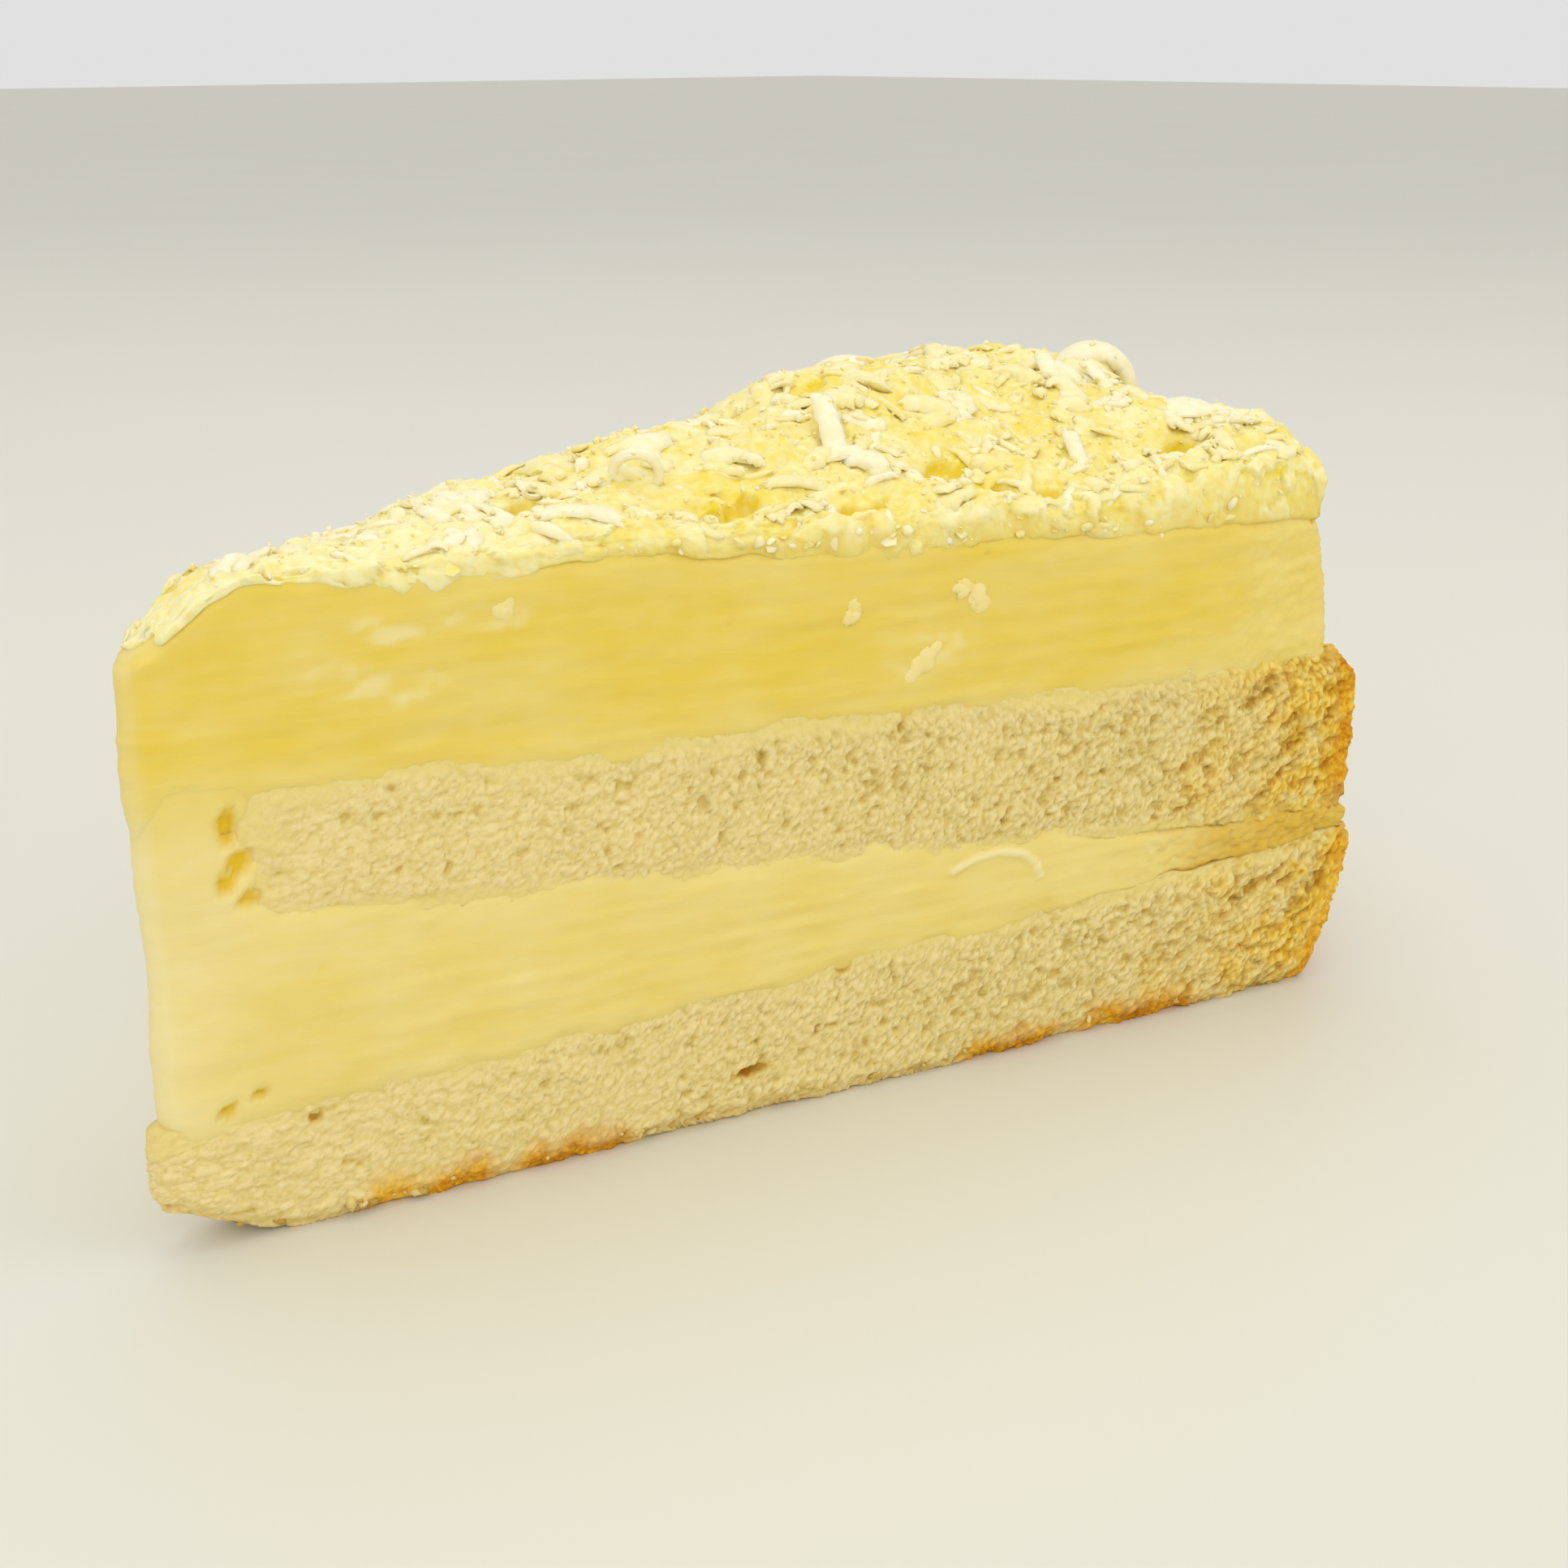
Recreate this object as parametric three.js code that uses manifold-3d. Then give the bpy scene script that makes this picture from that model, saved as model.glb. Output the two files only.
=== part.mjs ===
// A slice of lemon layer cake: two sponge layers with lemon cream between and above them, under a heap
// of white chocolate shavings. Millimetres, +Z up. The tip points along -X, the browned rim faces +X,
// and the origin is on the resting face below the middle of the slice.
import * as THREE from "three";
import { mergeVertices } from "three/addons/utils/BufferGeometryUtils.js";
import Module from "manifold-3d";

const { clamp, degToRad, lerp, smoothstep } = THREE.MathUtils;

// The cut
const CAKE_RADIUS = 127; // of the round cake that the slice was cut from
const SLICE_ANGLE = degToRad(30);
const APEX_X = -67; // where the two cuts would meet
const TIP = { sponge: 5.5, cream: 7.2, heap: 12 }; // how far short of that the blunt tip ends
const LAYER_GAP = 0.3; // between one layer and the next
const SEED = 7;

// Heights of the layers' upper faces, at the apex and at the rim
const BASE_TOP = { apex: 10.8, rim: 16 };
const FILLING_TOP = { apex: 28.2, rim: 18.2 };
const SPONGE_TOP = { apex: 39.5, rim: 35.3 };
const CREAM_TOP = { apex: 55.6, rim: 48.9 };
const RIPPLE = { height: 0.35, reach: 8, turns: 9 }; // slow unevenness of those faces

// The tip: cream sinks there, the base crumbles away below, and filling covers the upper sponge's end
const TIP_END = 16; // distance from the apex where the slice is whole again
const CREAM_DROOP = 5.6;
const BASE_LIFT = 4;
const SPONGE_START = 14;

// How far each layer stands out of, or back from, the cake's radius at the rim: at its lower edge, at
// its upper edge, and how much more it swells between them
const BASE_RIM = { low: -3.2, high: 1.5, swell: 0.9 };
const FILLING_RIM = { low: -0.4, high: -0.4, swell: 0 };
const SPONGE_RIM = { low: 0.6, high: -1.4, swell: 1.4 };
const CREAM_RIM = { low: -3.4, high: -5.4, swell: 0.3 };
const HEAP_RIM = { low: -5.2, high: -7, swell: 0.8 };
const FLUSH_RIM = { low: 0, high: 0, swell: 0 };

// Relief of the cut and baked sides
const SPONGE_CRAG = 0.55;
const CREAM_SMEAR = 0.2;
const BOTTOM_CRUMBLE = 0.7; // how far the base's lower edge is broken away

// The flat spot that the slice rests on, a triangle a little below the crumbling edges
const SOLE = { start: 18, end: 116, spread: degToRad(11), drop: 0.25, thick: 2 };

// The heap's core, which grows from the tip towards the rim
const HEAP = {
  inset: 1.3, // from the cuts
  thin: 0.6, // thickness at the tip
  crest: 9.4, // greatest thickness
  full: 108, // distance from the apex where the crest is highest
  growth: 1.4, // above 1, the tip's end stays low for longer
  side: 0.2, // the crest's place across the slice, from -1 at the front cut to 1 at the back cut
  shoulder: { tip: 0.3, rim: 0.75, from: 90 }, // share of the crest's thickness that is left at the cuts
  lump: { height: 0.9, fine: 3.1, coarse: 5.3 },
};

// The shavings that lie on the core
const SHAVING_COUNT = 84;
const SHAVING = { length: [5, 12], width: [1.7, 3.4], bend: [4, 14], thick: 0.8, tilt: 32, rise: 0.5 };
const SHAVING_REACH = [20, 118]; // distances of the first and last one from the apex
const SHAVING_SPREAD = 0.84; // share of the slice's width that they lie on

// Shavings that stand out of the heap: place along and across the slice, size, and turns in degrees
const LARGE_CURLS = [
  { along: 117, across: -0.08, rise: 2.8, length: 15, width: 6, bend: 4.2, yaw: 78, pitch: 0 },
  { along: 73, across: -0.55, rise: 1.8, length: 14, width: 3.2, bend: 16, yaw: 62, pitch: -48 },
  { along: 52, across: -0.78, rise: 1.2, length: 11, width: 3, bend: 2.2, yaw: 65, pitch: 0 },
  { along: 100, across: -0.5, rise: 1.3, length: 9, width: 2.2, bend: 12, yaw: 80, pitch: -42 },
  { along: 95, across: 0.35, rise: 1.6, length: 13, width: 5, bend: 6, yaw: 20, pitch: 12 },
  { along: 116, across: -0.6, rise: 1.2, length: 11, width: 4.5, bend: 5, yaw: 15, pitch: 0 },
];

// Flakes that the knife drew down over the front cut: distance from the apex, height, size and turn
const FACE_FLAKES = [
  { along: 37, height: 50.4, length: 8, width: 3.4, turn: 12 },
  { along: 66, height: 47.2, length: 2.8, width: 2.4, turn: 40 },
  { along: 79, height: 47.6, length: 4.4, width: 3.4, turn: -35 },
  { along: 73, height: 41.6, length: 6, width: 2.6, turn: 62 },
];
const FLAKE_THICK = 1.2;

// Steps along, across and up each layer
const SPONGE_STEPS = [34, 7, 4];
const CREAM_STEPS = [34, 7, 3];
const TIP_STEPS = [3, 3, 3];
const HEAP_STEPS = [30, 6, 2];
const CLEARANCE_STEPS = [34, 7, 1];

const SPONGE_LOOK = { color: "#ecd993", roughness: 0.9, metalness: 0 };
const CREAM_LOOK = { color: "#ecd36b", roughness: 0.45, metalness: 0 };
const SHAVING_LOOK = { color: "#faf1c0", roughness: 0.5, metalness: 0 };

const wasm = await Module();
wasm.setup();

// A repeatable stream of numbers from 0 to 1.
function stream(seed) {
  let state = seed;
  return () => {
    state = (state + 0x6d2b79f5) | 0;
    let mixed = Math.imul(state ^ (state >>> 15), state | 1);
    mixed ^= mixed + Math.imul(mixed ^ (mixed >>> 7), mixed | 61);
    return ((mixed ^ (mixed >>> 14)) >>> 0) / 4294967296;
  };
}
const draw = stream(SEED);
const between = ([low, high]) => lerp(low, high, draw());
const jitter = (size) => (draw() * 2 - 1) * size;

// Height of a layer's upper face at a distance from the apex and an angle from the slice's middle.
const levelAt = (level, radius, angle) =>
  lerp(level.apex, level.rim, radius / CAKE_RADIUS) +
  RIPPLE.height * Math.sin(radius / RIPPLE.reach + level.apex) * Math.cos(angle * RIPPLE.turns + level.rim);

const tipShare = (radius) => 1 - smoothstep(radius, TIP.sponge, TIP_END);
const creamTop = (radius, angle) => levelAt(CREAM_TOP, radius, angle) - CREAM_DROOP * tipShare(radius);

// Height of the heap's core.
function heapTop(radius, angle) {
  const { thin, crest, full, growth, side, shoulder, lump } = HEAP;
  const across = angle / (SLICE_ANGLE / 2);
  const way = clamp((radius - TIP.heap) / (full - TIP.heap), 0, 1);
  const grown = Math.sin((Math.PI / 2) * way) ** growth;
  const atCut = lerp(shoulder.tip, shoulder.rim, smoothstep(radius, shoulder.from, CAKE_RADIUS));
  const fromCrest = (across - side) / (across < side ? 1 + side : 1 - side);
  const ridge = lerp(1, atCut, smoothstep(Math.abs(fromCrest), 0, 1));
  const wave = Math.sin(radius / lump.fine + across * 2) * Math.cos(radius / lump.coarse - across * 4);
  return creamTop(radius, angle) + LAYER_GAP + thin + (crest * ridge + lump.height * wave) * grown;
}

// A geometry with only positions and with its shared corners merged.
function cornersOf(geometry) {
  geometry.deleteAttribute("normal");
  geometry.deleteAttribute("uv");
  return mergeVertices(geometry);
}

// A box divided along, across and up.
const gridBox = (size, steps) => cornersOf(new THREE.BoxGeometry(...size, ...steps));

// Moves every corner of a geometry to where place() says.
function reshape(geometry, place) {
  const corners = geometry.getAttribute("position");
  for (let i = 0; i < corners.count; i++) {
    corners.setXYZ(i, ...place(corners.getX(i), corners.getY(i), corners.getZ(i)));
  }
  return geometry;
}

// A layer of the slice: the part of the cake between two radii, two cuts and two heights. relief is
// the depth of the unevenness of its cut and baked sides, and crumble that of its lower edge.
function layer(shape) {
  const { steps, start, end = CAKE_RADIUS, rim = FLUSH_RIM, inset = 0, floor, roof } = shape;
  const { relief = 0, crumble = 0 } = shape;
  const unit = gridBox([1, 1, 1], steps).translate(0.5, 0.5, 0.5);
  return reshape(unit, (along, across, up) => {
    const cut = across === 0 || across === 1 ? jitter(relief) : 0;
    const baked = along === 1 ? jitter(relief) : 0;
    const broken = up === 0 && (cut || baked) ? draw() * crumble : 0;
    const outer = end + lerp(rim.low, rim.high, up) + rim.swell * Math.sin(Math.PI * up);
    const radius = lerp(start, outer, along) + baked;
    const angle = (across - 0.5) * SLICE_ANGLE;
    const x = APEX_X + radius * Math.cos(angle) - cut * Math.sin(SLICE_ANGLE / 2);
    const y = radius * Math.sin(angle) + lerp(inset - cut, cut - inset, across);
    return [x, y, lerp(floor(radius, angle), roof(radius, angle), up) + broken];
  });
}

// A flat strip bent round the Y axis to a radius, centred on its own middle.
const bentStrip = (length, width, thick, bend, steps) =>
  reshape(gridBox([length, width, thick], [steps, 1, 1]), (x, y, z) => [
    (bend + z) * Math.sin(x / bend),
    y,
    (bend + z) * Math.cos(x / bend) - bend,
  ]);

const solidOf = (geometry) =>
  new wasm.Manifold(
    new wasm.Mesh({
      numProp: 3,
      vertProperties: new Float32Array(geometry.getAttribute("position").array),
      triVerts: new Uint32Array(geometry.index.array),
    }),
  );

const joined = (geometry, extras) =>
  extras.reduce((sum, extra) => sum.add(solidOf(extra)), solidOf(geometry));

// The largest body of a joined solid as a geometry, without scraps.
function geometryOf(solid) {
  const bodies = solid.decompose().sort((a, b) => b.volume() - a.volume());
  const { vertProperties, triVerts } = bodies[0].getMesh();
  return new THREE.BufferGeometry()
    .setAttribute("position", new THREE.BufferAttribute(vertProperties, 3))
    .setIndex(new THREE.BufferAttribute(triVerts, 1));
}

// A shaving laid on the heap, turned by yaw about the vertical and tilted by pitch, in degrees.
function laidShaving({ along, across, rise, length, width, bend, yaw, pitch }) {
  const angle = (across * SLICE_ANGLE) / 2;
  const turn = new THREE.Euler(0, degToRad(pitch), degToRad(yaw), "ZYX");
  const steps = Math.max(3, Math.round((length / bend) * 2));
  return bentStrip(length, width, SHAVING.thick, bend, steps)
    .applyMatrix4(new THREE.Matrix4().makeRotationFromEuler(turn))
    .translate(APEX_X + along * Math.cos(angle), along * Math.sin(angle), heapTop(along, angle) + rise);
}

// Shavings spread evenly over the heap by the golden ratio, which fills a sector without clumps.
function scatteredShavings() {
  const golden = (Math.sqrt(5) - 1) / 2;
  return Array.from({ length: SHAVING_COUNT }, (_, i) =>
    laidShaving({
      along: lerp(...SHAVING_REACH, Math.sqrt((i + 0.5) / SHAVING_COUNT)),
      across: lerp(-SHAVING_SPREAD, SHAVING_SPREAD, (i * golden) % 1),
      rise: SHAVING.rise,
      length: between(SHAVING.length),
      width: between(SHAVING.width),
      bend: between(SHAVING.bend),
      yaw: draw() * 360,
      pitch: jitter(SHAVING.tilt),
    }),
  );
}

// A flake pressed into the front cut.
function faceFlake({ along, height, length, width, turn }) {
  const half = SLICE_ANGLE / 2;
  return bentStrip(length, width, FLAKE_THICK, length, 3)
    .rotateZ(degToRad(turn))
    .rotateX(Math.PI / 2)
    .rotateZ(-half)
    .translate(APEX_X + along * Math.cos(half), -along * Math.sin(half), height);
}

function baseSole() {
  const corner = (radius, angle) =>
    new THREE.Vector2(APEX_X + radius * Math.cos(angle), radius * Math.sin(angle));
  const outline = new THREE.Shape([
    corner(SOLE.start, 0),
    corner(SOLE.end, -SOLE.spread),
    corner(SOLE.end, SOLE.spread),
  ]);
  return cornersOf(new THREE.ExtrudeGeometry(outline, { depth: SOLE.thick, bevelEnabled: false }));
}

function baseSponge() {
  const crumb = layer({
    steps: SPONGE_STEPS,
    start: TIP.sponge,
    rim: BASE_RIM,
    floor: (radius) => SOLE.drop + BASE_LIFT * tipShare(radius),
    roof: (radius, angle) => levelAt(BASE_TOP, radius, angle),
    relief: SPONGE_CRAG,
    crumble: BOTTOM_CRUMBLE,
  });
  return geometryOf(joined(crumb, [baseSole()]));
}

// The cream between the sponges, with the part of it that closes the upper sponge's tip.
function fillingCream() {
  const middle = layer({
    steps: CREAM_STEPS,
    start: TIP.cream,
    rim: FILLING_RIM,
    floor: (radius, angle) => levelAt(BASE_TOP, radius, angle) + LAYER_GAP,
    roof: (radius, angle) => levelAt(FILLING_TOP, radius, angle),
    relief: CREAM_SMEAR,
  });
  const tip = layer({
    steps: TIP_STEPS,
    start: TIP.cream,
    end: SPONGE_START - LAYER_GAP,
    inset: CREAM_SMEAR,
    floor: (radius, angle) => levelAt(FILLING_TOP, radius, angle) - 2 * LAYER_GAP,
    roof: (radius, angle) => levelAt(SPONGE_TOP, radius, angle),
  });
  return geometryOf(joined(middle, [tip]));
}

const upperSponge = () =>
  layer({
    steps: SPONGE_STEPS,
    start: SPONGE_START,
    rim: SPONGE_RIM,
    floor: (radius, angle) => levelAt(FILLING_TOP, radius, angle) + LAYER_GAP,
    roof: (radius, angle) => levelAt(SPONGE_TOP, radius, angle),
    relief: SPONGE_CRAG,
  });

function topCream() {
  const cream = layer({
    steps: CREAM_STEPS,
    start: TIP.cream,
    rim: CREAM_RIM,
    floor: (radius, angle) => levelAt(SPONGE_TOP, radius, angle) + LAYER_GAP,
    roof: creamTop,
    relief: CREAM_SMEAR,
  });
  return geometryOf(joined(cream, FACE_FLAKES.map(faceFlake)));
}

// The core and the shavings, less the room that the cream below needs.
function shavingHeap() {
  const core = layer({
    steps: HEAP_STEPS,
    start: TIP.heap,
    rim: HEAP_RIM,
    inset: HEAP.inset,
    floor: (radius, angle) => creamTop(radius, angle) + LAYER_GAP,
    roof: heapTop,
  });
  const creamRoom = layer({
    steps: CLEARANCE_STEPS,
    start: TIP.sponge,
    inset: -HEAP.inset,
    floor: (radius, angle) => creamTop(radius, angle) - Math.max(...SHAVING.length),
    roof: (radius, angle) => creamTop(radius, angle) + 0.7 * LAYER_GAP,
  });
  const shavings = [...LARGE_CURLS.map(laidShaving), ...scatteredShavings()];
  return geometryOf(joined(core, shavings).subtract(solidOf(creamRoom)));
}

function piece(name, geometry, look) {
  geometry.computeVertexNormals();
  const mesh = new THREE.Mesh(geometry, new THREE.MeshStandardMaterial(look));
  mesh.name = name;
  return mesh;
}

const slice = new THREE.Group();
slice.add(
  piece("base_sponge", baseSponge(), SPONGE_LOOK),
  piece("filling_cream", fillingCream(), CREAM_LOOK),
  piece("upper_sponge", upperSponge(), SPONGE_LOOK),
  piece("top_cream", topCream(), CREAM_LOOK),
  piece("shaving_heap", shavingHeap(), SHAVING_LOOK),
);

export default slice;
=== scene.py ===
"""Looks of the lemon cake slice: crumb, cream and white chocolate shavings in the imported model's frame.

Shapes are worked out in millimetres, with x and y counted from the apex, the line where the two cuts
would meet. A mesh is put into the row frame, in metres, when it is made.
"""

import itertools
import math
from functools import partial

import bpy
import numpy as np
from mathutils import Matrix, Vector


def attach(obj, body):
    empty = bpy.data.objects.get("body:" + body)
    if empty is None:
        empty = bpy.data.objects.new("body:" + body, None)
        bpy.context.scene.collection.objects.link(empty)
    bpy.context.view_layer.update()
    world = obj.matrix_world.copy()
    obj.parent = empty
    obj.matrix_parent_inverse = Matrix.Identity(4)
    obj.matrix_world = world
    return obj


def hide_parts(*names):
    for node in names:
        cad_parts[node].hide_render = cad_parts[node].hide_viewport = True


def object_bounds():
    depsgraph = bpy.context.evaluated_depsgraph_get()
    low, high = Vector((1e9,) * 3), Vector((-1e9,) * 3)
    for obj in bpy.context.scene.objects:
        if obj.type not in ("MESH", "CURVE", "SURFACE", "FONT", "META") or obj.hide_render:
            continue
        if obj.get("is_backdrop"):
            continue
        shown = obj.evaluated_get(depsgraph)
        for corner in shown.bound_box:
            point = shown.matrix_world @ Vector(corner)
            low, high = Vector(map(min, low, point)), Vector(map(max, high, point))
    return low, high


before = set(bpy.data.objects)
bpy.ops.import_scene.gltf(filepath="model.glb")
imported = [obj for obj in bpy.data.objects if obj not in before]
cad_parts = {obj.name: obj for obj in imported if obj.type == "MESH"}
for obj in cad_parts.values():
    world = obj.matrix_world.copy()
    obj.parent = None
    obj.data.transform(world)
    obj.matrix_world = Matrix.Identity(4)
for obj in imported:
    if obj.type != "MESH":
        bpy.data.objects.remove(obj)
cad_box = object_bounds()
scene = bpy.context.scene

# The cut, as the solids have it
MM = 0.001
APEX_X = -67.0
CAKE_RADIUS = 127.0
HALF_ANGLE = math.radians(15)
TIP = {"base": 4.6, "filling": 6.2, "sponge": 10.5, "cream": 5.8, "heap": 12.0}
TIP_END = 16.0
RIM_ROUND = 1.6
CORNER_ARC = 1.3  # length of a rounded corner, in its radii
FRONT_WAY = np.array([math.cos(HALF_ANGLE), -math.sin(HALF_ANGLE)])
FRONT_OUT = np.array([-math.sin(HALF_ANGLE), -math.cos(HALF_ANGLE)])
MIRROR = np.array([1, -1])
BACK_WAY, BACK_OUT = FRONT_WAY * MIRROR, FRONT_OUT * MIRROR

# Heights of the layers' upper faces, at the apex and at the rim, and their waves: size, height, seed
LEVELS = {"base": (10.8, 16.0), "filling": (28.2, 18.2), "sponge": (39.5, 35.3), "cream": (55.6, 48.9)}
LEVEL_SEEDS = {"base": 11, "filling": 12, "sponge": 13, "cream": 14}
LEVEL_WAVES = ((12.0, 0.4, 0), (3.0, 0.3, 20), (1.1, 0.12, 40))
BASE_CHIPS = ((3.4, 0.8, 41), (1.1, 0.6, 42))
BASE_LIFT = 4.0
CREAM_DROOP = 5.6
PLUG_END = 14.0
PLUG_FADE = (16.0, 30.0)

# How far each layer stands out at the rim: lower edge, upper edge, swell between, fall of the upper edge
RIMS = {
    "base": (-2.2, 2.6, 0.7, 0.0),
    "filling": (1.0, 0.8, 0.2, 0.0),
    "sponge": (0.9, 1.2, 0.5, 2.8),
    "cream": (-2.9, -4.9, 0.3, 0.0),
}
SHOULDER_SPAN = (0.76, 1.06)

# How far the creams are drawn out over the layers that they meet
FILLING_OVER, TOP_OVER = 3.0, 4.0

# Mesh fineness: step round the outline, and rows up the sides
SPONGE_MESH = (0.2, 56)
CREAM_MESH = (0.42, 54)

# Camera, as fitted to the photo's frame
PHOTO_SIZE = 1932
PHOTO_FOCAL = 2800
SENSOR = 36.0
CAMERA_PLACE = (-71.67, -151.39, 93.62)
CAMERA_NEAR = 10.0
CAMERA_PITCH = math.radians(18.23)
CAMERA_HEADING = math.radians(44.096)


# Numbers and noise


def mix(a, b, share):
    return a + (b - a) * share


def smoothstep(value, low, high):
    share = np.clip((value - low) / (high - low), 0, 1)
    return share * share * (3 - 2 * share)


def fading(value, low, high):
    return 1 - smoothstep(value, low, high)


def hashed(cells, seed):
    """A repeatable number from 0 to 1 for each whole-number cell in space."""
    x, y, z = (cells[..., i].astype(np.int64) for i in range(3))
    mixed = (x * 374761393 + y * 668265263 + z * 1442695041 + seed * 974711) & 0xFFFFFFFF
    mixed = ((mixed ^ (mixed >> 13)) * 1274126177) & 0xFFFFFFFF
    mixed = ((mixed ^ (mixed >> 16)) * 1103515245) & 0xFFFFFFFF
    return ((mixed ^ (mixed >> 15)) & 0xFFFFFF) / 0xFFFFFF


def noise(points, size, seed):
    """Smooth noise from -1 to 1 with lumps of about a size, at points in space or places in the plane."""
    if points.shape[-1] == 2:
        points = raised(points, 0 * points[..., 0])
    scaled = points / np.asarray(size, float)
    cell = np.floor(scaled)
    part = scaled - cell
    ease = part * part * (3 - 2 * part)
    total = 0.0
    for corner in itertools.product((0, 1), repeat=3):
        weight = np.prod(np.where(corner, ease, 1 - ease), axis=-1)
        total = total + weight * hashed(cell + corner, seed)
    return total * 2 - 1


def waves(points, kinds, seed=0):
    """Noise of several kinds added up, each with a size, a height and a seed of its own."""
    return sum(height * noise(points, size, seed + own) for size, height, own in kinds)


def grains(points, size, seed):
    """Distances to the nearest and second nearest grain, in grain sizes, and the nearest one's number."""
    scaled = points / size
    home = np.floor(scaled)
    nearest = np.full(points.shape[:-1], 9.0)
    second = nearest.copy()
    number = np.zeros_like(nearest)
    for step in itertools.product((-1, 0, 1), repeat=3):
        cell = home + step
        centre = cell + np.stack([hashed(cell, seed + i) for i in range(3)], -1)
        gap = np.linalg.norm(centre - scaled, axis=-1)
        closer = gap < nearest
        second = np.where(closer, nearest, np.minimum(second, gap))
        nearest = np.where(closer, gap, nearest)
        number = np.where(closer, hashed(cell, seed + 3), number)
    return nearest, second, number


def ways(angles):
    return np.stack([np.cos(angles), np.sin(angles)], -1)


def raised(places, height):
    """Points at a height above places in the plane."""
    return np.concatenate([places, height[..., None]], -1)


# The slice's shape


def radius_of(points):
    return np.hypot(points[..., 0], points[..., 1])


def tip_share(places):
    return fading(radius_of(places), TIP["base"], TIP_END)


def level(name, places):
    """Height of a layer's upper face at places in the plane."""
    plane = mix(*LEVELS[name], radius_of(places) / CAKE_RADIUS)
    return plane + waves(places, LEVEL_WAVES, LEVEL_SEEDS[name])


def base_sole(places):
    return BASE_LIFT * tip_share(places)


def base_floor(places):
    """The base's lower edge, broken away here and there and crumbled off at the tip."""
    chips = sum(depth * np.clip(noise(places, size, seed), 0, 1) for size, depth, seed in BASE_CHIPS)
    return chips + base_sole(places)


def filling_floor(places):
    return level("base", places) - FILLING_OVER


def filling_roof(places):
    """The filling's upper edge, which rises at the tip, where it closes the front of the upper sponge."""
    plugged = fading(radius_of(places), *PLUG_FADE)
    return mix(level("filling", places), level("sponge", places), plugged) + FILLING_OVER


def cream_floor(places):
    return level("sponge", places) - TOP_OVER


def cream_top(places):
    return level("cream", places) - CREAM_DROOP * tip_share(places)


def rim_out(name, up):
    low, high, swell, fall = RIMS[name]
    return mix(low, high, up) + swell * np.sin(np.pi * up) - fall * smoothstep(up, *SHOULDER_SPAN)


def outline(radii, tip, step):
    """The slice's closed outline for each radius: places, and the directions that face outwards.

    It runs from the middle of the tip along the front cut to the middle of the rim, and back along
    the rear cut, with a round of its own at the tip and at each corner.
    """
    radii = np.asarray(radii, float)[:, None]
    tip_round = tip / (1 / math.sin(HALF_ANGLE) - 1)
    start = tip_round / math.tan(HALF_ANGLE)
    stop = np.sqrt((radii - RIM_ROUND) ** 2 - RIM_ROUND**2)
    turn = HALF_ANGLE - np.arcsin(RIM_ROUND / (radii - RIM_ROUND))
    facing = -math.pi / 2 - HALF_ANGLE

    def shares(length, closed=False):
        return np.linspace(0, 1, max(3, round(length / step)), endpoint=closed)

    tip_angles = mix(-math.pi, facing, shares(tip_round * CORNER_ARC))
    tip_out = ways(np.broadcast_to(tip_angles, (len(radii), len(tip_angles))))
    tip_line = tip_out * tip_round + np.array([tip_round / math.sin(HALF_ANGLE), 0])

    cut_line = mix(start, stop, shares(CAKE_RADIUS - start))[..., None] * FRONT_WAY
    cut_out = np.broadcast_to(FRONT_OUT, cut_line.shape)

    corner_out = ways(mix(facing, -turn, shares(RIM_ROUND * CORNER_ARC)))
    corner_line = stop[..., None] * FRONT_WAY - RIM_ROUND * FRONT_OUT + RIM_ROUND * corner_out

    rim_way = ways(mix(-turn, 0, shares(CAKE_RADIUS * HALF_ANGLE, closed=True)))
    rim_line = radii[..., None] * rim_way

    half = np.concatenate([tip_line, cut_line, corner_line, rim_line], 1)
    half_out = np.concatenate([tip_out, cut_out, corner_out, rim_way], 1)
    return tuple(np.concatenate([side, (side * MIRROR)[:, -2:0:-1]], 1) for side in (half, half_out))


def ring_triangles(count, size):
    """Triangles over rings of equal size stacked one on the next, with a fan over each end."""
    rings = np.arange(count * size).reshape(count, size)
    ahead = np.roll(rings, -1, 1)
    bottom, top = np.full(size, count * size), np.full(size, count * size + 1)
    trios = (
        (rings[:-1], ahead[:-1], ahead[1:]),
        (rings[:-1], ahead[1:], rings[1:]),
        (bottom, ahead[0], rings[0]),
        (top, rings[-1], ahead[-1]),
    )
    return np.concatenate([np.stack(trio, -1).reshape(-1, 3) for trio in trios])


def shown(name, data):
    """A new object in the scene for the data."""
    made = bpy.data.objects.new(name, data)
    scene.collection.objects.link(made)
    return made


def make_piece(name, points, triangles, material, slot, values, sharp=None, node=None):
    """A mesh in the row frame from points in millimetres, with a value of each name on every point."""
    mesh = bpy.data.meshes.new(name)
    mesh.from_pydata((points + (APEX_X, 0, 0)) * MM, (), triangles)
    mesh.shade_smooth()
    if sharp is not None:
        mesh.set_sharp_from_angle(angle=sharp)
    for key, value in values.items():
        layer = mesh.attributes.new(key, "FLOAT", "POINT")
        layer.data.foreach_set("value", np.asarray(value, np.float32).ravel())
    mesh.materials.append(material)
    piece = shown(name, mesh)
    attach(piece, "root")
    if node:
        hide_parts(node)


CAP_SHARES = (0.975, 0.9, 0.5)
CAP_MIDDLE = np.array([0.66 * CAKE_RADIUS, 0.0])


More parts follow.
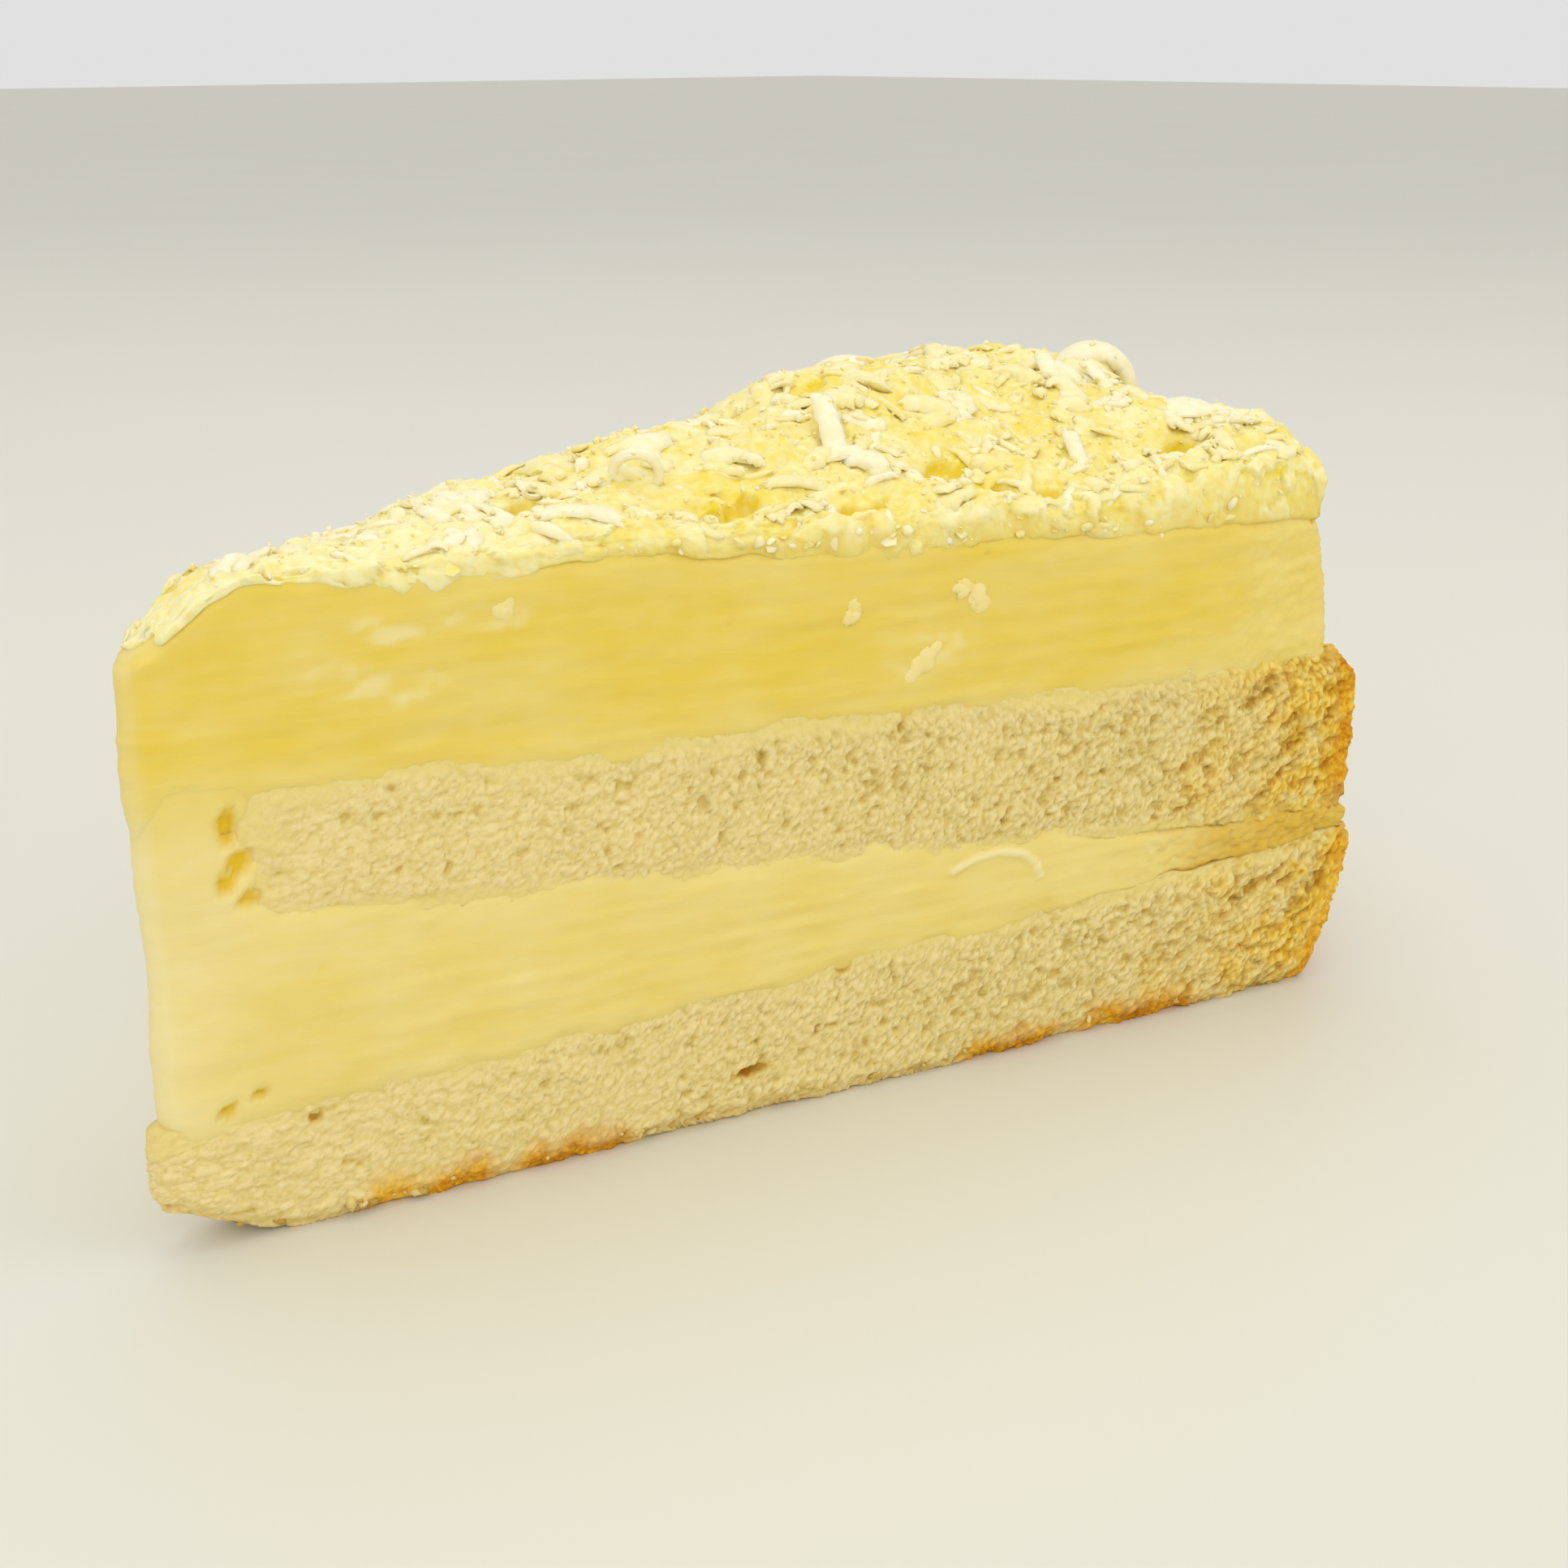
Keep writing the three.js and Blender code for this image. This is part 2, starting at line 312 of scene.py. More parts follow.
def layer_mesh(name, floor, roof, fineness, dress, sole=None):
    """A layer of the slice whose sides get relief and values from dress(): points, triangles, values."""
    step, rows = fineness
    up = np.linspace(0, 1, rows)
    radii = CAKE_RADIUS + rim_out(name, up)
    places, outward = outline(radii, TIP[name], step)
    low, high = floor(places[0]), roof(places[-1])
    height = mix(low, high, up[:, None])
    points = raised(places, height)
    depth = radii[:, None] - radius_of(places)
    relief, values = dress(points, outward, depth, height - low, high - height)
    points[..., :2] += outward * relief[..., None]

    def cap(edge, share, surface):
        inner = CAP_MIDDLE + (edge[:, :2] - CAP_MIDDLE) * share
        return raised(inner, surface(inner))

    below = sole or floor
    bottom = [cap(points[0], share, below) for share in reversed(CAP_SHARES)]
    top = [cap(points[-1], share, roof) for share in CAP_SHARES]
    rings = np.stack([*bottom, *points, *top])
    poles = np.stack([raised(CAP_MIDDLE, surface(CAP_MIDDLE)) for surface in (below, roof)])

    def over_caps(value):
        ends = [np.repeat(value[:1], len(bottom), 0), value, np.repeat(value[-1:], len(top), 0)]
        return np.concatenate([np.concatenate(ends).ravel(), [value[0].mean(), value[-1].mean()]])

    everything = np.concatenate([rings.reshape(-1, 3), poles])
    spread = {key: over_caps(value) for key, value in values.items()}
    return everything, ring_triangles(len(rings), rings.shape[1]), spread


# Marks on the front cut: distance from the apex, height, half width, half height
DEEP_PITS = (
    (12.7, 35.8, 0.8, 1.8), (12.3, 31.2, 1.0, 1.2), (13.5, 32.7, 1.2, 1.1),
    (14.0, 29.6, 0.9, 0.8), (10.9, 12.1, 1.0, 0.6), (13.6, 12.9, 0.8, 0.5),
)
BROWN_PITS = ((18.1, 9.8, 0.8, 0.6), (67.9, 12.7, 1.1, 0.6), (58.6, 4.6, 2.4, 0.6))
PALE_SMUDGES = (
    (21.5, 46.5, 3.2, 1.3), (26.5, 45.0, 4.5, 1.6), (23.5, 50.5, 2.4, 0.7),
    (27.0, 49.4, 3.0, 0.8), (34.0, 49.6, 4.5, 1.4), (76.0, 41.5, 5.0, 2.0),
)

# A thin ridge that the knife left on the filling: distances from the apex and heights
RIDGE = ((79.5, 20.1), (81.8, 20.9), (84.6, 21.2), (87.2, 20.6), (88.8, 19.4), (89.4, 18.0))
RIDGE_WIDTH, MARK_EDGE = 0.55, (0.5, 1.15)
FACING_FRONT = 0.9


def on_front(points, outward):
    """Points as places on the front cut, along and up, and whether they are on it."""
    along = points[..., :2] @ FRONT_WAY
    return np.stack([along, points[..., 2]], -1), (outward @ FRONT_OUT) > FACING_FRONT


def marked(points, outward, marks):
    """How strongly each point is covered by oval marks on the front cut."""
    spot, facing = on_front(points, outward)
    total = np.zeros(points.shape[:-1])
    ragged = 0.25 * noise(points, 0.8, 61)
    for along, height, wide, tall in marks:
        gap = np.hypot((spot[..., 0] - along) / wide, (spot[..., 1] - height) / tall)
        total = np.maximum(total, fading(gap + ragged, *MARK_EDGE))
    return total * facing


def ridged(points, outward):
    """How strongly each point is covered by the ridge on the front cut."""
    spot, facing = on_front(points, outward)
    gap = np.full(points.shape[:-1], 99.0)
    for start, stop in itertools.pairwise(np.array(RIDGE)):
        way = stop - start
        share = np.clip((spot - start) @ way / (way @ way), 0, 1)
        gap = np.minimum(gap, np.linalg.norm(spot - start - share[..., None] * way, axis=-1))
    return fading(gap, 0.3 * RIDGE_WIDTH, RIDGE_WIDTH) * facing


# Crumb: sizes of grains and pores, and the distances from the apex between which it opens
GRAIN, FINE_GRAIN, PORE = 0.85, 0.45, 2.6
CRUMB_STRETCH = (0.8, 0.8, 1.2)
CRUMB_WAVES = ((4.5, 0.25, 12), (0.4, 0.08, 13))
CRUMB_OPENS = (15, 120)
DRAWN_OUT, DRAWN_SPAN = 0.55, (15, 90)
TEAR_LEAN, TEAR_SIZE, TEAR_SPAN = math.radians(27), (3.4, 3.0, 0.8), (94, 118)

# Shares of the grains that are holes or pores, at the tip and at the rim
HOLES, PORES = (0.04, 0.16), (0.04, 0.1)

# Browning: depths from the rim, where the lower edge is browned, from and to, and the depth of pits
SKIN_DEPTH, GOLDEN_DEPTH = (0.8, 4.2), (3, 28)
BROWN_PATCHES = ((22, 33), (36, 46), (82, 92), (96, 109))
PIT_DEPTHS = {"brown": 0.6, "deep": 1.6}


def torn(points, seed):
    """How strongly each point of the crumb lies in one of the tears that lean up towards the rim."""
    radius, height = radius_of(points), points[..., 2]
    near_rim = smoothstep(radius + 7 * noise(points, 4.0, seed + 24), *TEAR_SPAN)
    along = radius * math.cos(TEAR_LEAN) + height * math.sin(TEAR_LEAN)
    upright = height * math.cos(TEAR_LEAN) - radius * math.sin(TEAR_LEAN)
    leant = np.stack([along, points[..., 1], upright + 0.4 * noise(points, 1.0, seed + 25)], -1)
    return near_rim * smoothstep(noise(leant, TEAR_SIZE, seed + 26), 0.2, 0.6)


def crumb(points, seed):
    """Relief of cut sponge, and painted shade in its crevices: grains with gaps between them, small holes,
    some pores.

    The crumb is close and drawn out by the knife at the tip, and opens towards the rim.
    """
    radius = radius_of(points)
    opened = smoothstep(radius + 22 * noise(points, (9.0, 9.0, 5.0), seed + 17), *CRUMB_OPENS)
    drawn = mix(DRAWN_OUT, 1, smoothstep(radius, *DRAWN_SPAN))[..., None]
    stretched = points * CRUMB_STRETCH * np.concatenate([drawn, drawn, np.ones_like(drawn)], -1)
    warped = stretched + 0.4 * np.stack([noise(points, 0.9, seed + i) for i in range(3)], -1)
    tear = torn(points, seed)
    near, second, own = grains(warped, GRAIN, seed)
    fine, fine_second, fine_own = grains(warped, FINE_GRAIN, seed + 5)
    big, _, big_own = grains(warped + 0.5 * noise(points, 0.8, seed + 9)[..., None], PORE, seed + 11)
    gap = fading(second - near, 0.02, 0.24)
    fine_gap = fading(fine_second - fine, 0.0, 0.22)
    hole = (own < mix(*HOLES, opened)) * smoothstep(second - near, 0.05, 0.3)
    pore = (big_own < mix(*PORES, opened)) * fading(big, 0.08, 0.3)
    lumps = 0.26 * (0.42 - near) + 0.26 * (own - 0.5) + 0.16 * (0.45 - fine) + 0.16 * (fine_own - 0.5)
    relief = (lumps - 0.12 * gap - 0.36 * hole) * mix(0.6, 1.2, opened) - 0.6 * pore - 0.45 * tear
    # Painted shade: the crumb is darker in the gaps between grains, in holes, pores and tears
    crevice_shade = (0.42 * gap + 0.24 * fine_gap) * mix(0.62, 1.0, opened) + 0.55 * hole + 0.6 * pore
    return relief + waves(points, CRUMB_WAVES, seed), np.clip(crevice_shade + 0.4 * tear, 0, 1)


def bottom_brown(points, outward, above_floor, fine, coarse):
    """How browned the base is along its lower edge, which is so in patches."""
    radius = radius_of(points)
    _, facing = on_front(points, outward)
    patch = sum(
        smoothstep(radius, start - 2, start + 1) * fading(radius, stop - 1, stop + 2)
        for start, stop in BROWN_PATCHES
    )
    patch = np.where(facing, patch, smoothstep(coarse, -0.2, 0.3))
    return fading(above_floor + 0.7 * fine, 0.6, mix(1.2, 3.6, patch)) * mix(0.15, 1.0, patch)


def dressed_sponge(seed, smear_above, smear_below=None):
    """The dress() of a sponge: its relief, the painted shade of its crevices, and how browned, golden and
    smeared each point is.

    The smears are the heights that cream is drawn over its upper and lower edge. A sponge without
    a lower smear is the base, with a browned lower edge.
    """

    def dress(points, outward, depth, above_floor, below_roof):
        relief, pit = crumb(points, seed)
        radius = radius_of(points)
        radial = points[..., :2] / radius[..., None]
        baked = smoothstep(np.sum(outward * radial, -1), 0.3, 0.9)
        fine = noise(points, 1.4, seed + 21)
        coarse = noise(points, 5.0, seed + 22)
        skin = np.maximum(fading(depth + fine + 1.8 * coarse, *SKIN_DEPTH), baked)
        golden = fading(depth + 7.0 * coarse + 3.0 * fine, *GOLDEN_DEPTH)
        brown = marked(points, outward, BROWN_PITS)
        relief = relief - PIT_DEPTHS["brown"] * brown
        streak = noise(points, (6.0, 6.0, 1.6), seed + 23)
        smear = fading(below_roof + 1.3 * streak, 0.1, smear_above)
        edge = below_roof
        if smear_below is None:
            skin = np.maximum(skin, bottom_brown(points, outward, above_floor, fine, coarse))
            relief = relief - 0.8 * fading(above_floor, 0, 1.6)
        else:
            smear = np.maximum(smear, fading(above_floor + 0.8 * streak, 0.1, smear_below))
            smear = np.maximum(smear, fading(radius + 2.0 * fine, PLUG_END - 1, PLUG_END + 5))
            edge = np.minimum(edge, np.minimum(above_floor, radius - PLUG_END))
        smear = smear * fading(baked, 0, 0.5) * (1 - 0.7 * golden)
        relief = relief * (1 - 0.6 * smear) * (1 - 0.6 * baked)
        relief = relief - 0.25 * fading(edge, 0, 2.4) - 0.8 * baked * fading(edge, 0, 1.4)
        relief = relief - PIT_DEPTHS["deep"] * marked(points, outward, DEEP_PITS)
        # Painted crevice shade, weaker under smears and full in the brown pits
        pit = np.maximum(pit * (1 - 0.6 * smear), brown)
        return relief, {"pit": pit, "skin": skin, "golden": np.maximum(golden, brown), "smear": smear}

    return dress


# Cream: waves, room for a bubble and the share with one, distances from the apex where it changes, depths
CREAM_SEED = 300
CREAM_WAVES = (
    ((9.0, 9.0, 0.9), 0.1, 0), ((4.0, 4.0, 0.4), 0.04, 1), (8.0, 0.22, 2), ((2.5, 2.5, 1.2), 0.08, 3),
)
BUBBLE_ROOM, BUBBLES = 3.4, 0.06
PALE_TIP, PALE_RIM, CRUMBED_RIM, TOASTED_RIM = (8, 17), (108, 119), (106, 117), (97, 120)
FILLING_THINS, FILLING_CRUMBLES = (80, 112), (96, 112)
CREAM_PIT_DEPTH, RIDGE_HEIGHT = 0.7, 0.3


def cream_paleness(points, outward):
    """How pale the cream is: deep yellow on top, paler below and at the tip, smudged by the knife, with
    painted highlights on the side facing the tip and along the ridge.
    """
    radius = radius_of(points)
    at_tip = fading(radius, *PALE_TIP)
    below = level("sponge", points[..., :2]) - points[..., 2]
    lower = smoothstep(below + 1.5 * noise(points, 4.0, 67), mix(-3, -6, at_tip), mix(4, 9, at_tip))
    at_rim = smoothstep(radius + 3 * noise(points, 3.0, 65), *PALE_RIM) * (1 - lower)
    # Painted highlight: the cream is paler where it faces towards the tip, along -x
    painted_edge_light = smoothstep(-outward[..., 0], 0.5, 0.95)
    clouds = noise(points, (9.0, 9.0, 3.0), CREAM_SEED + 31)
    broken = smoothstep(noise(points, (3.0, 3.0, 1.0), 66), -0.5, 0.6)
    smudges = marked(points, outward, PALE_SMUDGES) * broken
    pale = 0.12 + 0.36 * lower + 0.25 * at_tip * lower + 0.2 * at_rim + 0.35 * painted_edge_light + 0.1 * clouds
    # The ridge is painted pale as well as raised, a painted highlight along it
    return np.clip(pale + 0.6 * smudges + 0.6 * ridged(points, outward), 0, 1)


def cream_relief(points, outward):
    """Relief of cut cream, and the painted shade of its pits and bubbles: knife streaks, soft waves,
    bubbles and the marks on the cut.
    """
    near, _, own = grains(points, BUBBLE_ROOM, CREAM_SEED + 4)
    bubble = (own < BUBBLES) * fading(near, 0.03, 0.13)
    # Pits and bubbles are marked for painted shade in a deep yellow
    deep = np.maximum(marked(points, outward, DEEP_PITS), 0.5 * bubble)
    crumbs, _, _ = grains(points, 0.8, CREAM_SEED + 8)
    crumbed = smoothstep(radius_of(points) + 3 * noise(points, 3.0, 65), *CRUMBED_RIM)
    relief = waves(points, CREAM_WAVES, CREAM_SEED) + 0.4 * crumbed * (0.45 - crumbs)
    return relief - CREAM_PIT_DEPTH * deep + RIDGE_HEIGHT * ridged(points, outward), deep


def dress_filling(points, outward, depth, above_floor, below_roof):
    """The filling's dress(): it thins out over the base, the upper sponge and the top cream."""
    relief, deep = cream_relief(points, outward)
    radius = radius_of(points)
    places, height = points[..., :2], points[..., 2]
    ragged = 0.9 * noise(points, (3.0, 3.0, 1.5), CREAM_SEED + 5)
    inside = smoothstep(radius + 1.5 * noise(points, 1.6, CREAM_SEED + 6), PLUG_END - 1, PLUG_END + 2.5)
    reach = FILLING_OVER * mix(1.0, 0.3, smoothstep(radius, *FILLING_THINS))
    over_base = smoothstep(level("base", places) - height + ragged, -0.4, reach)
    over_sponge = inside * smoothstep(height - level("filling", places) + ragged, -0.4, reach)
    over_cream = smoothstep(height - level("sponge", places), 0.4, FILLING_OVER)
    relief = relief - np.maximum(np.maximum(over_base, over_sponge), 0.4 * over_cream)
    crumbs, _, own = grains(points, 1.1, CREAM_SEED + 10)
    at_rim = smoothstep(radius + 4 * noise(points, 3.0, CREAM_SEED + 11), *FILLING_CRUMBLES)
    relief = relief + at_rim * (0.5 * (0.45 - crumbs) + 0.6 * (own - 0.8))
    mottle = 5 * noise(points, (5.0, 5.0, 2.0), CREAM_SEED + 9) + 8 * (own - 0.5)
    toast = smoothstep(radius + mottle, *TOASTED_RIM)
    return relief, {"pale": cream_paleness(points, outward), "deep": deep, "toast": toast}


def dress_top(points, outward, depth, above_floor, below_roof):
    """The top cream's dress(): it thins out over the upper sponge, and is rounded along its upper edge."""
    relief, deep = cream_relief(points, outward)
    ragged = noise(points, (4.0, 4.0, 1.5), CREAM_SEED + 7)
    at_plug = fading(radius_of(points), PLUG_END - 2, PLUG_END + 3)
    below = level("sponge", points[..., :2]) - points[..., 2]
    over_sponge = smoothstep(below + ragged * (1 - at_plug), mix(-0.4, 0.4, at_plug), TOP_OVER)
    relief = relief - mix(1.0, 0.4, at_plug) * over_sponge - 0.5 * fading(below_roof, 0, 1.2)
    return relief, {"pale": cream_paleness(points, outward), "deep": deep, "toast": 0 * deep}


# The heap of shavings
draw = np.random.default_rng(5)
CELL, GRID_MARGIN = 0.3, 3
NOTHING = -99.0
HEAP_START, HEAP_RIM = 8.4, 121.6
HEAP = {"thin": 1.0, "crest": 11.0, "full": 100.0, "growth": 1.35, "side": 0.2}
SHOULDER = {"tip": 0.3, "rim": 0.75, "from": 90.0}
HEAP_LUMPS = ((9.0, 1.2, 71), (4.0, 0.8, 72))
LOOSE_DEPTH, PACKED_LEAST = 1.2, 0.35
WHITER, WHITE_TIP = 0.3, (25, 60)
PACKED_FLAKE, PACKED_GRAIN, PACKED_FINE = 2.2, 1.0, 0.5

# Rounding of the heap's edge along the cuts, between two distances from the apex, and at the ends
EDGE_ROUNDS, EDGE_SPAN, END_ROUND, EDGE_LEAST = (2.0, 3.6), (60, 112), 2.0, 0.35

# Bumps and dips of the heap: distance from the apex, place across, reach along, reach across, height
HEAP_BUMPS = (
    (28.0, 0.7, 14.0, 8.0, -1.2),
    (52.0, 0.4, 7.0, 8.0, -1.3),
    (71.0, 0.4, 5.5, 10.0, -2.9),
    (79.5, 0.2, 4.0, 6.0, 0.5),
    (115.5, -0.13, 2.4, 2.4, 2.6),
    (119.2, -0.3, 3.8, 3.6, -5.4),
    (118.5, -0.78, 4.5, 3.5, 1.8),
)

# Gaps between the shavings, which are sunk and get painted shade, then yellower patches of them, as above
# but without a height
HEAP_GAPS = (
    (82.8, -0.64, 3.0, 1.6), (86.0, -0.85, 2.2, 1.4), (90.5, -0.88, 2.0, 1.2), (71.0, -0.86, 3.2, 1.2),
    (58.7, -0.75, 3.4, 1.3), (107.5, -0.77, 4.0, 1.2), (41.0, -0.3, 3.0, 1.2), (80.0, 0.05, 2.2, 1.6),
)
YELLOW_PATCHES = (
    (86.0, -0.2, 7.0, 6.0), (90.0, 0.3, 11.0, 8.0), (98.0, -0.45, 6.0, 5.0),
    (60.0, -0.6, 6.0, 4.0), (47.0, 0.4, 4.0, 3.0),
)


def apart(places, along, across, wide, deep):
    """How far places are from one on the heap, in its reach along the slice and across it."""
    radius = radius_of(places)
    aside = np.arctan2(places[..., 1], places[..., 0]) * radius
    return np.hypot((radius - along) / wide, (aside - across * HALF_ANGLE * along) / deep)


def heap_thickness(places):
    """How thick the finished heap is above the cream."""
    radius = radius_of(places)
    across = np.arctan2(places[..., 1], places[..., 0]) / HALF_ANGLE
    way = np.clip((radius - TIP["heap"]) / (HEAP["full"] - TIP["heap"]), 0, 1)
    grown = np.sin(way * np.pi / 2) ** HEAP["growth"]
    at_cut = mix(SHOULDER["tip"], SHOULDER["rim"], smoothstep(radius, SHOULDER["from"], CAKE_RADIUS))
    side = HEAP["side"]
    from_crest = np.abs((across - side) / np.where(across < side, 1 + side, 1 - side))
    ridge = mix(1, at_cut, smoothstep(from_crest, 0, 1))
    thickness = HEAP["thin"] + (HEAP["crest"] * ridge + waves(places, HEAP_LUMPS)) * grown
    for *spot, height in HEAP_BUMPS:
        thickness = thickness + height * np.exp(-(apart(places, *spot) ** 2))
    return thickness


def past_cuts(places):
    return np.maximum(places @ FRONT_OUT, places @ BACK_OUT)


def outside(places):
    """How far places lie outside the heap's room: past a cut, the rim or the tip."""
    radius = radius_of(places)
    return np.maximum(past_cuts(places), np.maximum(radius - HEAP_RIM, HEAP_START - radius))


def gap_share(places):
    """How strongly each place lies in one of the gaps that the photo shows between the shavings."""
    nearest = np.min([apart(places, *gap) for gap in HEAP_GAPS], axis=0)
    return fading(nearest + 0.5 * noise(places, 1.3, 99), 0.4, 0.95)


def yellowed(places):
    """How much yellower than elsewhere the shavings are, which are so in patches."""
    patches = np.max([np.exp(-(apart(places, *patch) ** 2)) for patch in YELLOW_PATCHES], axis=0)
    return np.clip(patches + 0.35 * noise(places, 5.0, 93), 0, 1)


def whitened(places):
    """How much paler the shavings are towards the tip."""
    return WHITER * fading(radius_of(places), *WHITE_TIP)


def rounding(places):
    """Height of the heap's rounded edge, as a share of the full height there."""
    radius = radius_of(places)
    inward = -past_cuts(places) / mix(*EDGE_ROUNDS, smoothstep(radius, *EDGE_SPAN))
    inward = np.minimum(inward, np.minimum(HEAP_RIM - radius, radius - HEAP_START) / END_ROUND)
    return mix(EDGE_LEAST, 1.0, np.sqrt(1 - (1 - np.clip(inward, 0, 1)) ** 2))


def packed_relief(points, steep):
    """Fine relief of packed shavings, of grains, the gaps and flakes where it is steep, and its shade:
    random tone by grain and flake, and painted shade in the gaps.
    """
    warped = points + 0.5 * np.stack([noise(points, 1.6, 81 + i) for i in range(3)], -1)
    flake, _, flake_own = grains(warped, PACKED_FLAKE, 84)
    grain, _, grain_own = grains(warped, PACKED_GRAIN, 88)
    fine, _, fine_own = grains(warped, PACKED_FINE, 92)
    marks = gap_share(points[..., :2])
    flakes = steep * (0.6 * (flake_own - 0.5) + 0.4 * (0.45 - flake))
    relief = flakes + 0.2 * (0.45 - grain) + 0.14 * (grain_own - 0.5) + 0.12 * (0.45 - fine) - 1.3 * marks
    # Painted shade: the gaps are pushed to the deeper colour, besides a random tone by grain and flake
    shade = 0.8 * steep * (flake_own - 0.5) + 0.2 * (grain_own - 0.5) + 0.1 * (fine_own - 0.5) - 0.9 * marks
    return relief, shade


# Single shavings and crumbs


def sheet_triangles(along, across):
    """A grid's point numbers, the triangles over it, and the numbers round its edge."""
    at = np.arange(along * across).reshape(along, across)
    a, b, c, d = at[:-1, :-1], at[1:, :-1], at[1:, 1:], at[:-1, 1:]
    upper = np.concatenate([np.stack(trio, -1).reshape(-1, 3) for trio in ((a, b, c), (a, c, d))])
    edge = np.concatenate([at[:-1, 0], at[-1, :-1], at[:0:-1, -1], at[0, :0:-1]])
    return at, upper, edge


def loop_triangles(high, low):
    """Triangles between an upper and a lower closed loop of points."""
    high_next, low_next = np.roll(high, -1), np.roll(low, -1)
    return np.concatenate([np.stack([high, low, low_next], -1), np.stack([high, low_next, high_next], -1)])


def plate_triangles(along, across):
    """Triangles of a plate whose upper grid of points comes first and its lower grid second."""
    at, upper, edge = sheet_triangles(along, across)
    return np.concatenate([upper, upper[:, ::-1] + at.size, loop_triangles(edge, edge + at.size)])


def shaving(length, width, bend, twist=0.0, cup=0.0, spiral=0.0, ragged=0.1, taper=0.45, steps=(12, 5)):
    """Middle surface of a shaving: a strip curled round the Y axis, twisted, and ragged at its edges."""
    along = np.linspace(-0.5, 0.5, steps[0])[:, None]
    across = np.linspace(-0.5, 0.5, steps[1])[None, :]
    angle = along * length / bend
    narrowed = 1 - taper * np.abs(2 * along) ** 3
    side = width * narrowed * across * (1 + ragged * draw.normal(size=steps))
    lift = -cup * width * (2 * across) ** 2 + side * np.sin(twist * along)
    frayed = ragged * draw.normal(size=steps) * (np.abs(along) > 0.49)
    reach = bend * (1 + spiral * (along + 0.5)) + lift
    return np.stack(
        [reach * np.sin(angle) + frayed, side * np.cos(twist * along), reach * np.cos(angle) - bend], -1
    )


def normals(sheet):
    normal = np.cross(np.gradient(sheet, axis=0), np.gradient(sheet, axis=1))
    return normal / (np.linalg.norm(normal, axis=-1, keepdims=True) + 1e-9)


def thickened(middle, thick):
    """Upper and lower points of a plate round its middle surface, rounded off at the edges."""
    along = np.linspace(-1, 1, middle.shape[0])[:, None]
    across = np.linspace(-1, 1, middle.shape[1])[None, :]
    share = 0.5 * thick * np.sqrt((1.05 - along**8) * (1.05 - across**4))
    offset = normals(middle) * share[..., None]
    return np.concatenate([(middle + offset).reshape(-1, 3), (middle - offset).reshape(-1, 3)])


def turned(points, yaw=0.0, pitch=0.0, roll=0.0, normal=(0, 0, 1)):
    """Points turned by roll about X, pitch about Y and yaw about Z, then leant so that Z meets normal."""
    turn = np.eye(3)
    for axis, angle in enumerate((roll, pitch, yaw)):
        cos, sin = math.cos(angle), math.sin(angle)
        turn = np.roll([[1, 0, 0], [0, cos, -sin], [0, sin, cos]], axis, (0, 1)) @ turn
    x, y, z = normal / np.linalg.norm(normal)
    cross = np.array([[0, 0, x], [0, 0, y], [-x, -y, 0]])
    lean = np.eye(3) + cross + cross @ cross / (1 + z)
    return points @ (lean @ turn).T


SHARP_ANGLE = math.radians(70)


class Pile:
    """Many small plates or crumbs joined into one mesh."""

    def __init__(self):
        self.points, self.triangles, self.tones, self.count = [], [], [], 0

    def add(self, points, triangles, tone):
        self.points.append(points)
        self.triangles.append(triangles + self.count)
        self.tones.append(np.full(len(points), tone))
        self.count += len(points)

    def piece(self, name, material, slot, shade="tone"):
        values = {shade: np.concatenate(self.tones)}
        points, triangles = np.concatenate(self.points), np.concatenate(self.triangles)
        make_piece(name, points, triangles, material, slot, values, SHARP_ANGLE)


def icosahedron():
    """Corners of an icosahedron one unit from its middle, with edges of 1.05 units, and its triangles."""
    golden = (1 + math.sqrt(5)) / 2
    corners = [(0, a, b * golden) for a in (-1, 1) for b in (-1, 1)]
    corners = np.array([np.roll(c, i) for c in corners for i in range(3)], float)
    corners /= np.linalg.norm(corners[0])
    triangles = []
    for trio in itertools.combinations(range(12), 3):
        a, b, c = corners[list(trio)]
        if max(np.linalg.norm(a - b), np.linalg.norm(b - c), np.linalg.norm(c - a)) < 1.2:
            outward = np.dot(np.cross(b - a, c - a), a + b + c) > 0
            triangles.append(trio if outward else trio[::-1])
    return corners, np.array(triangles)


CRUMB_SHAPE = icosahedron()
CRUMB_LENGTHS, CRUMB_CORNERS = (0.7, 1.5), (0.65, 1.25)


def add_crumbs(pile, places, sizes, flatness=0.45):
    """Small uneven crumbs, most of them flattish, at the given points."""
    corners, triangles = CRUMB_SHAPE
    for place in places:
        size = mix(*sizes, draw.random() ** 2)
        stretch = draw.uniform(*CRUMB_LENGTHS, 3) * (1, 1, flatness) * size
        uneven = corners * draw.uniform(*CRUMB_CORNERS, (12, 1)) * stretch
        turns = {"yaw": draw.uniform(0, 6.3), "pitch": draw.normal(0, 0.7), "roll": draw.normal(0, 0.7)}
        pile.add(place + turned(uneven, **turns), triangles, draw.random())


# Settling: how far a slope is taken over, the least share of a shaving that the heap holds, and tries
SLOPE_REACH = 2.0
HELD_LEAST = 0.6
TRIES = 6


def softened(field):
    """A grid of values blurred a little."""
    for axis in (0, 1):
        field = 0.5 * field + 0.25 * (np.roll(field, 1, axis) + np.roll(field, -1, axis))
    return field


